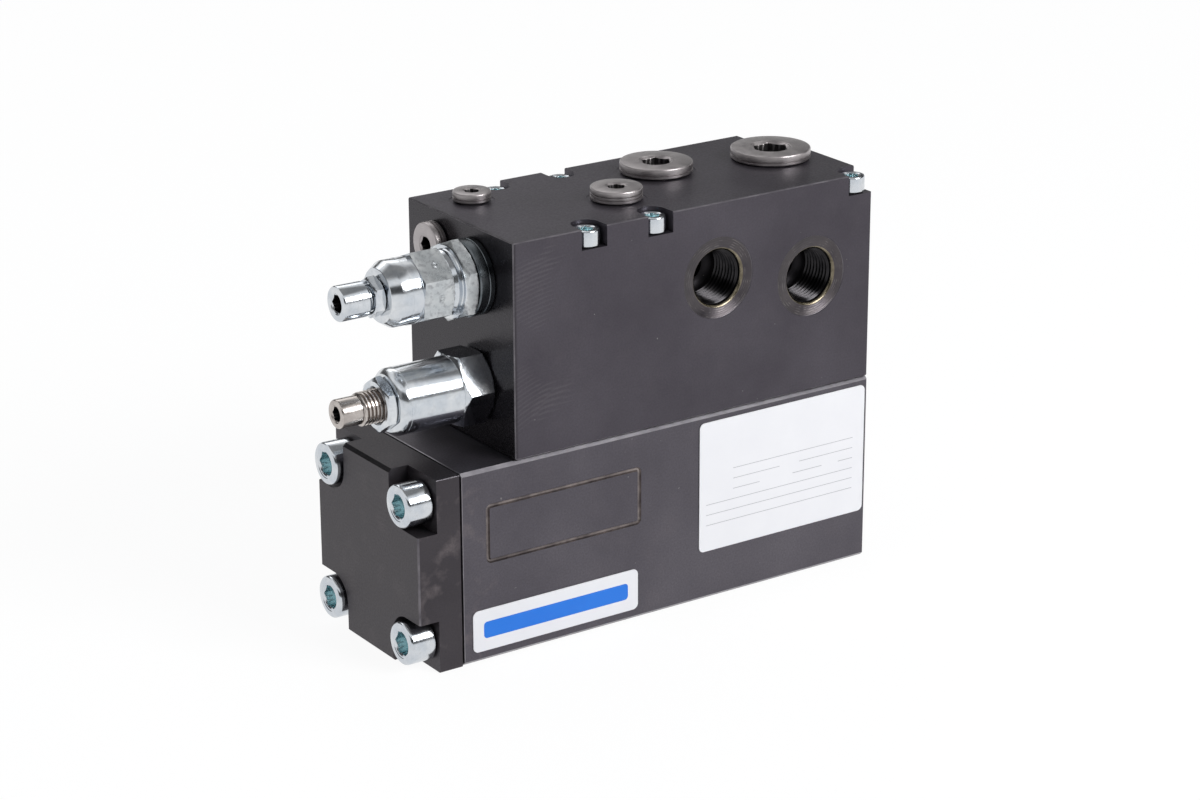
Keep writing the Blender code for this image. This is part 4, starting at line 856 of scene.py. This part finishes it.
def make_manifold():
    inlets = []
    for name, plug, shift, drop in (("port_b", "top_plug_medium", 0.0051, 0.0285),
                                    ("port_a", "top_plug_large", 0.0092, 0.0355)):
        axis = centre(plug)
        inlets.append((name, axis.x - shift, MANIFOLD_TOP - drop, axis.y - FRONT))
    faces = [spot_face(f"{name}_face_steel", x, z) for name, x, z, _ in inlets]
    # The second material is the painted edge highlight and the last the painted shade in the ports.
    materials = [STEEL_MANIFOLD, SOFT_EDGE_HIGHLIGHT, *faces, MOUTH_STEEL, SHADE_STEEL]
    block = copy_of("manifold_block", "manifold_visible", materials)
    low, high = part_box("manifold_block")
    carve(block, [broken_hull("manifold_hull", low, high, 0.00035)], "INTERSECT")
    tools = []
    for index, (name, x, z, reach_in) in enumerate(inlets):
        tools.append(port_pieces(name, x, z, OUT_FRONT, reach_in, 2 + index, **INLET))
    relief_x = MANIFOLD_LEFT + 0.077
    pressure_x = centre("right_check_ball").x
    for name, x, z in (("outlet_relief", relief_x, RELIEF_Z), ("outlet_pressure", pressure_x, SEQUENCE_Z)):
        tools.append(port_pieces(name, x, z, OUT_BACK, 0.0295, 0, **OUTLET))
    for index in range(1, 7):
        axis = centre(f"manifold_screw_{index}")
        tools.append(slot_cutter(f"pocket_{index}", axis.x, axis.y, 0.00543, MANIFOLD_TOP - 0.00771))
    for plug, radius in (("top_plug_small", 0.0112), ("top_plug_mini", 0.0084), ("top_plug_medium", 0.0149)):
        axis = centre(plug)
        rings = [(-0.00012, radius), (0.001, radius)]
        tools.append(cutter(f"spot_{plug}", rings, (axis.x, axis.y, MANIFOLD_TOP), UP))
    carve(block, tools)
    finish_block(block, "manifold_block")


def lengthwise(edge):
    return abs(edge.verts[0].co.x - edge.verts[1].co.x) > 0.001


def make_cylinder():
    """The long edges are rounded and the ends only broken. The engraved frame stays empty."""
    # The rounded long edges take the painted highlight, and the groove's slopes their brownish steel with a
    # painted highlight.
    block = copy_of("cylinder_block", "cylinder_visible", [STEEL_CYLINDER, EDGE_HIGHLIGHT, GROOVE_STEEL])
    low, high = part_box("cylinder_block")
    past_ends = Vector((0.01, 0, 0))
    rounds = broken_hull("cylinder_rounds", low - past_ends, high + past_ends, 0.0013, 5, lengthwise)
    carve(block, [rounds, broken_hull("cylinder_hull", low, high, 0.0003)], "INTERSECT")
    carve(block, [groove_cutter("frame_groove", left=-0.0718, right=-0.0047, bottom=0.0372, top=0.0598,
                                radius=0.0022, width=0.0016, depth=0.0006)])
    finish_block(block, "cylinder_block")


def make_cover():
    # The second material is the painted edge highlight and the third the painted shade on the top-left
    # chamfer.
    block = copy_of("end_cover", "cover_visible", [STEEL_COVER, SOFT_EDGE_HIGHLIGHT, SHADE_STEEL])
    low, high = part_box("end_cover")
    carve(block, [broken_hull("cover_hull", low, (high.x + 0.01, high.y, high.z), 0.0003)], "INTERSECT")
    chamfer = [(COVER_LEFT - 0.001, CYLINDER_TOP - 0.0022), (COVER_LEFT + 0.0022, CYLINDER_TOP + 0.001),
               (COVER_LEFT - 0.001, CYLINDER_TOP + 0.001)]
    tools = [prism_cutter("cover_chamfer", chamfer, FRONT - 0.001, BACK + 0.001, "Y", 2)]
    pocket_radius = 0.00953
    pocket_floor = JOINT_X - 0.01001
    for index in range(1, 5):
        axis = centre(f"end_cover_screw_{index}")
        side_y = 1 if axis.y > 0 else -1
        side_z = 1 if axis.z > CYLINDER_TOP / 2 else -1
        edge_y = side_y * (BACK + PAST)
        edge_z = CYLINDER_TOP + PAST if side_z > 0 else -PAST
        start = -90 * side_z
        end = -180 * side_z if side_y > 0 else 0
        points = arc((axis.y, axis.z), pocket_radius, start, end, 16)
        outline = [(edge_y, points[0][1]), *points, (points[-1][0], edge_z), (edge_y, edge_z)]
        tools.append(prism_cutter(f"cover_pocket_{index}", outline, COVER_LEFT - PAST, pocket_floor, "X"))
    carve(block, tools)
    finish_block(block, "end_cover")


# Labels
def plate(name, node):
    """A label with rounded corners and a fine bevel around its face."""
    radius = 0.0022
    bevel = 0.00006
    low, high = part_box(node)
    body = bmesh.new()
    loops = []
    for shrink, level in ((0.0, high.y), (0.0, low.y + bevel), (bevel, low.y)):
        points = rounded_outline(low.x + shrink, high.x - shrink, low.z + shrink, high.z - shrink,
                                 radius - shrink)
        loops.append([body.verts.new((x, level, z)) for x, z in points])
    skin(body, loops)
    piece = finish_mesh(name, body, [WHITE_FILM])
    ride_as(piece, node, "root")
    return low, high


def ink(name, bars, level, material, radius=0.0):
    """Printed bars, a few hundredths of a millimetre proud. Each bar is (left, right, bottom, top)."""
    half_thickness = 0.00002
    body = bmesh.new()
    for left, right, bottom, top in bars:
        outline = rounded_outline(left, right, bottom, top, radius or (top - bottom) * 0.3, 4)
        loops = []
        for depth in (level + half_thickness, level - half_thickness):
            loops.append([body.verts.new((x, depth, z)) for x, z in outline])
        skin(body, loops)
    piece = finish_mesh(name, body, [material])
    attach(piece, "root")


def make_labels():
    """Rules on the data plate, as height, start and end in shares of it, and a bar on the front label."""
    rules = ((0.60, 0.20, 0.93), (0.52, 0.20, 0.48), (0.52, 0.60, 0.93),
             (0.44, 0.20, 0.36), (0.44, 0.56, 0.74), (0.44, 0.84, 0.93),
             (0.36, 0.04, 0.93), (0.28, 0.04, 0.93), (0.20, 0.04, 0.93))
    line = 0.00022
    low, high = plate("data_plate_film", "data_plate")
    bars = []
    for share, start, end in rules:
        z = low.z + (high.z - low.z) * share
        bars.append((low.x + (high.x - low.x) * start, low.x + (high.x - low.x) * end, z, z + line))
    ink("data_plate_rules", bars, low.y, GREY_INK)
    margin = 0.0045
    half_bar = 0.0032
    low, high = plate("front_label_film", "front_label")
    middle = (low.z + high.z) / 2
    bar = (low.x + margin, high.x - margin, middle - half_bar, middle + half_bar)
    ink("front_label_bar", [bar], low.y, BLUE_INK, 0.0014)


# Inner pieces
def coil_piece(name, node, axis, turns, wire, first=0.0, last=1.0):
    """A round-wire spring in place of the CAD's plain coil, or its share between first and last."""
    low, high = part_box(node)
    index = "XYZ".index(axis)
    length = high[index] - low[index]
    radius = (high[(index + 1) % 3] - low[(index + 1) % 3]) / 2 - wire
    start = centre(node)
    start[index] = low[index]
    body = bmesh.new()
    steps = turns * 28
    loops = []
    for step in range(round(steps * first), round(steps * last) + 1):
        angle = 2 * math.pi * turns * step / steps
        height = wire + (length - 2 * wire) * step / steps
        loop = []
        for roll in angles(10):
            far = radius + wire * math.cos(roll)
            level = height + wire * math.sin(roll)
            loop.append(body.verts.new((far * math.cos(angle), far * math.sin(angle), level)))
        loops.append(loop)
    skin(body, loops)
    piece = finish_mesh(name, body, [SPRING_STEEL], place_matrix(start, ALONG[axis]))
    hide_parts(node)
    return piece, low, high


def seal_piece(node, axis, body_name="root"):
    """A round-section seal in place of the CAD's square one."""
    low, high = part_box(node)
    index = "XYZ".index(axis)
    section = (high[index] - low[index]) / 2
    middle = (high[(index + 1) % 3] - low[(index + 1) % 3]) / 2 - section
    rings = [(section * math.sin(angle), middle + section * math.cos(angle)) for angle in angles(14)]
    piece = turned(f"{node}_rubber", rings, centre(node), ALONG[axis], [RUBBER], hollow=True)
    ride_as(piece, node, body_name)


def ball_piece(node, body_name):
    low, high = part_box(node)
    radius = (high.x - low.x) / 2
    steps = 20
    rings = []
    for step in range(1, steps):
        angle = math.pi * step / steps
        rings.append((-radius * math.cos(angle), radius * math.sin(angle)))
    piece = turned(f"{node}_steel", rings, centre(node), UP, [GROUND_STEEL])
    ride_as(piece, node, body_name)


def squeezed(node, turns, wire, from_below):
    """An upright spring on the root. Its anchor, at its top if it is pushed from below and else at its
    bottom, is found but not used.
    """
    piece, low, high = coil_piece(f"{node}_wire", node, "Z", turns, wire)
    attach(piece, "root")
    anchor = centre(node)
    anchor.z = high.z if from_below else low.z
    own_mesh(piece)


def valve_spring(name):
    """The outer and the inner half of the spring, baked in place, which meet at mid length."""
    node = f"{name}_spring"
    for half, body_name, first, last in (("outer", "carriage", 0.0, 0.5), ("inner", "poppet", 0.5, 1.0)):
        piece, low, high = coil_piece(f"{node}_{half}_wire", node, "X", 6, 0.0007, first, last)
        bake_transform(piece)


def profile_of(node, axis):
    """The turned profile of a CAD node as (distance, radius) points, walked from ring to ring of its mesh."""
    index = "XYZ".index(axis)
    middle = centre(node)
    body = bmesh.new()
    body.from_mesh(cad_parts[node].data)
    bmesh.ops.remove_doubles(body, verts=body.verts, dist=1e-6)
    ring_of = {}
    for vertex in body.verts:
        away = vertex.co - middle
        distance = away[index]
        away[index] = 0.0
        ring_of[vertex] = (round(distance, 5), round(away.length, 5))
    beside = {ring: set() for ring in ring_of.values()}
    for edge in body.edges:
        first, second = (ring_of[vertex] for vertex in edge.verts)
        if first != second:
            beside[first].add(second)
            beside[second].add(first)
    body.free()
    ends = sorted(ring for ring, others in beside.items() if len(others) == 1)
    lowest = min(beside)[0]
    here = ends[0] if ends else max(ring for ring in beside if ring[0] == lowest)
    profile = [here]
    while len(profile) < len(beside):
        here = max(ring for ring in beside[here] if ring not in profile)
        profile.append(here)
    return profile, not ends


def broken_corners(profile, hollow, edge):
    """Cuts each corner of a profile off by edge, or by less where a side of it is short."""
    points = [Vector(point) for point in profile]
    if not hollow:
        points = [Vector((points[0].x, 0.0)), *points, Vector((points[-1].x, 0.0))]
    rings = []
    for place, point in enumerate(points):
        if not hollow and place in (0, len(points) - 1):
            continue
        for beside in (points[place - 1], points[(place + 1) % len(points)]):
            side = beside - point
            cut = point + side.normalized() * min(edge, side.length * 0.3)
            rings.append((cut.x, cut.y))
    return rings


def within(flats_around):
    """How far a round piece reaches that stays inside a CAD piece with that many flats."""
    return math.cos(math.pi / flats_around)


def smooth_piece(node, axis, material, body_name, flats_around=12):
    """A turned piece on a CAD node's own profile, round inside the CAD's flats, with its edges broken."""
    profile, hollow = profile_of(node, axis)
    inside = [(distance, radius * within(flats_around)) for distance, radius in profile]
    rings = broken_corners(inside, hollow, 0.00025)
    piece = turned(f"{node}_turned", rings, centre(node), ALONG[axis], [material], hollow=hollow)
    ride_as(piece, node, body_name)


def drilled_piece(node, rings, place, direction, drill):
    """A hollow turned piece with a cross drilling, for a node whose CAD solid has one too."""
    rings = broken_corners(rings, True, 0.0004)
    piece = turned(f"{node}_turned", rings, place, direction, [DARK_STEEL], hollow=True)
    carve(piece, [drill])
    shade(piece)
    ride_as(piece, node, "root")


def make_glands():
    bore = 0.0080
    seal = 0.0020
    for side, direction in (("left", OUT_RIGHT), ("right", OUT_LEFT)):
        low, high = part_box(f"{side}_gland")
        middle = centre(f"{side}_gland")
        length = high.x - low.x
        outer = (high.y - low.y) / 2 * within(18)
        start = low.x if side == "left" else high.x
        groove_end = length - 2 * seal
        groove_start = length - 3 * seal
        rings = [(0, outer), (length, outer), (length, bore), (groove_end, bore), (groove_end, bore + seal),
                 (groove_start, bore + seal), (groove_start, bore), (0, bore)]
        port = (start + direction[0] * 0.0035, -0.004, middle.z + outer + 0.001)
        drill = cutter("gland_port", [(0, 0.002), (0.019, 0.002)], port, DOWN)
        drilled_piece(f"{side}_gland", rings, (start, 0, middle.z), direction, drill)


def make_cages():
    tip = -0.044
    outer = 0.0073 * within(12)
    bore = 0.004
    for name, z in (("relief", RELIEF_Z), ("sequence", SEQUENCE_Z)):
        rings = [(tip, 0.0065 * within(12)), (tip + 0.0008, outer), (-0.018, outer), (-0.018, bore + 0.001),
                 (-0.019, bore), (tip, bore)]
        hole = (MANIFOLD_LEFT + 0.035, VALVE_Y - 0.010, z)
        drill = cutter("cage_hole", [(0, 0.0025), (0.020, 0.0025)], hole, OUT_BACK)
        drilled_piece(f"{name}_valve_cage", rings, (MANIFOLD_LEFT, VALVE_Y, z), OUT_LEFT, drill)


def make_inner_pieces():
    smooth_piece("intensifier_piston", "X", GROUND_STEEL, "piston", 18)
    for node, body_name in (("directional_spool", "spool"), ("dump_seat", "root"),
                            ("dump_poppet", "dump_poppet"), ("dump_pilot_piston", "dump_pilot")):
        smooth_piece(node, "Z", GROUND_STEEL, body_name)
    for name in ("relief", "sequence"):
        smooth_piece(f"{name}_spring_seat", "X", DARK_STEEL, f"{name}_carriage")
        smooth_piece(f"{name}_poppet", "X", DARK_STEEL, f"{name}_poppet")
    make_glands()
    make_cages()
    for side in ("left", "right"):
        smooth_piece(f"{side}_check_seat", "Z", GROUND_STEEL, "root")
        ball_piece(f"{side}_check_ball", f"{side}_check_ball")
        squeezed(f"{side}_check_spring", 2, 0.00025, True)
        seal_piece(f"{side}_check_seal", "Z")
        seal_piece(f"{side}_plunger_seal", "X")
    squeezed("spool_spring", 4, 0.0007, False)
    squeezed("dump_spring", 4, 0.0007, True)
    for name in ("relief", "sequence"):
        valve_spring(name)
        seal_piece(f"{name}_valve_seal", "X")
    seal_piece("end_cover_seal", "X")
    seal_piece("piston_seal", "X", "piston")


# Stage
def area_light(name, place, width, height, power):
    """A lamp that faces the middle of the object."""
    target = Vector((0, 0, 0.08))
    data = bpy.data.lights.new(name, "AREA")
    data.shape = "RECTANGLE"
    data.size = width
    data.size_y = height
    data.energy = power
    made = bpy.data.objects.new(name, data)
    made.location = place
    made.rotation_euler = (target - Vector(place)).to_track_quat("-Z", "Y").to_euler()
    bpy.context.scene.collection.objects.link(made)


def background_rays(nodes):
    """1 for the rays that show the background: camera, glossy and transmission rays."""
    path = nodes.add("ShaderNodeLightPath")
    total = path.outputs["Is Camera Ray"]
    for name in ("Is Glossy Ray", "Is Transmission Ray"):
        total = nodes.math("MAXIMUM", total, path.outputs[name])
    return total


def mix_shaders(nodes, share, first, second, target):
    mix = nodes.add("ShaderNodeMixShader")
    for socket, source in zip(mix.inputs, (share, first.outputs[0], second.outputs[0])):
        nodes.link(source, socket)
    nodes.link(mix.outputs[0], target.inputs["Surface"])


def make_world():
    """An even light on everything, and by height the white and dark bands that metal mirrors."""
    levels = ((0.0, 1.0), (0.565, 1.0), (0.59, 0.10), (0.77, 0.06), (0.81, 1.0), (0.90, 0.95), (0.94, 0.25),
              (1.0, 0.30))
    world = bpy.data.worlds.new("studio")
    bpy.context.scene.world = world
    world.use_nodes = True
    nodes = Nodes(world.node_tree)
    nodes.tree.nodes.clear()
    parts = nodes.add("ShaderNodeSeparateXYZ")
    nodes.link(nodes.add("ShaderNodeTexCoord").outputs["Generated"], parts.inputs[0])
    ramp = nodes.add("ShaderNodeValToRGB")
    nodes.link(nodes.range(parts.outputs["Z"], -1.0, 1.0, 0.0, 1.0), ramp.inputs["Fac"])
    stops = ramp.color_ramp.elements
    stops.remove(stops[1])
    for index, (position, level) in enumerate(levels):
        stop = stops[0] if index == 0 else stops.new(position)
        stop.color = (level, level, level, 1)
    shown = nodes.add("ShaderNodeBackground")
    nodes.link(ramp.outputs["Color"], shown.inputs["Color"])
    light = nodes.add("ShaderNodeBackground")
    light.inputs["Color"].default_value = (0.80, 0.82, 0.86, 1)
    light.inputs["Strength"].default_value = 0.42
    mix_shaders(nodes, background_rays(nodes), light, shown, nodes.add("ShaderNodeOutputWorld"))


def make_floor():
    """A pale floor that shows white to the camera and in metal, and keeps the object's shadow."""
    size = 6.0
    level = -0.0002
    body = bmesh.new()
    corners = [(-size, -size, level), (size, -size, level), (size, size, level), (-size, size, level)]
    body.faces.new([body.verts.new(corner) for corner in corners])
    look = Look("pale_floor", roughness=0.6)
    colour = look.mix(look.noise(3, 2), (0.88, 0.88, 0.88), (0.91, 0.91, 0.91))
    look.link(colour, look.shader.inputs["Base Color"])
    glow = look.add("ShaderNodeEmission")
    glow.inputs["Strength"].default_value = 1.05
    share = look.times(background_rays(look), 0.88)
    mix_shaders(look, share, look.shader, glow, look.tree.nodes["Material Output"])
    finish_mesh("floor", body, [look.material])


def make_camera():
    data = bpy.data.cameras.new("camera")
    data.lens = CAMERA_LENS
    data.sensor_width = 36.0
    camera = bpy.data.objects.new("camera", data)
    aim = (Vector(CAMERA_TARGET) - Vector(CAMERA_PLACE)).to_track_quat("-Z", "Y").to_matrix().to_4x4()
    roll = Matrix.Rotation(math.radians(CAMERA_ROLL), 4, "Z")
    camera.matrix_world = Matrix.Translation(Vector(CAMERA_PLACE)) @ aim @ roll
    bpy.context.scene.collection.objects.link(camera)
    bpy.context.scene.camera = camera


make_camera()
make_manifold()
make_cylinder()
make_cover()
make_fasteners()
make_plugs()
make_relief_valve()
make_sequence_valve()
make_labels()
make_inner_pieces()
make_world()
make_floor()
area_light("key", (0.7, -1.5, 1.1), 0.9, 0.7, 24.5)
area_light("fill", (-1.5, -0.5, 0.9), 0.6, 0.9, 0.4)
area_light("back", (0.2, 1.3, 1.1), 1.2, 0.6, 3)
bpy.context.scene.view_settings.view_transform = "Standard"
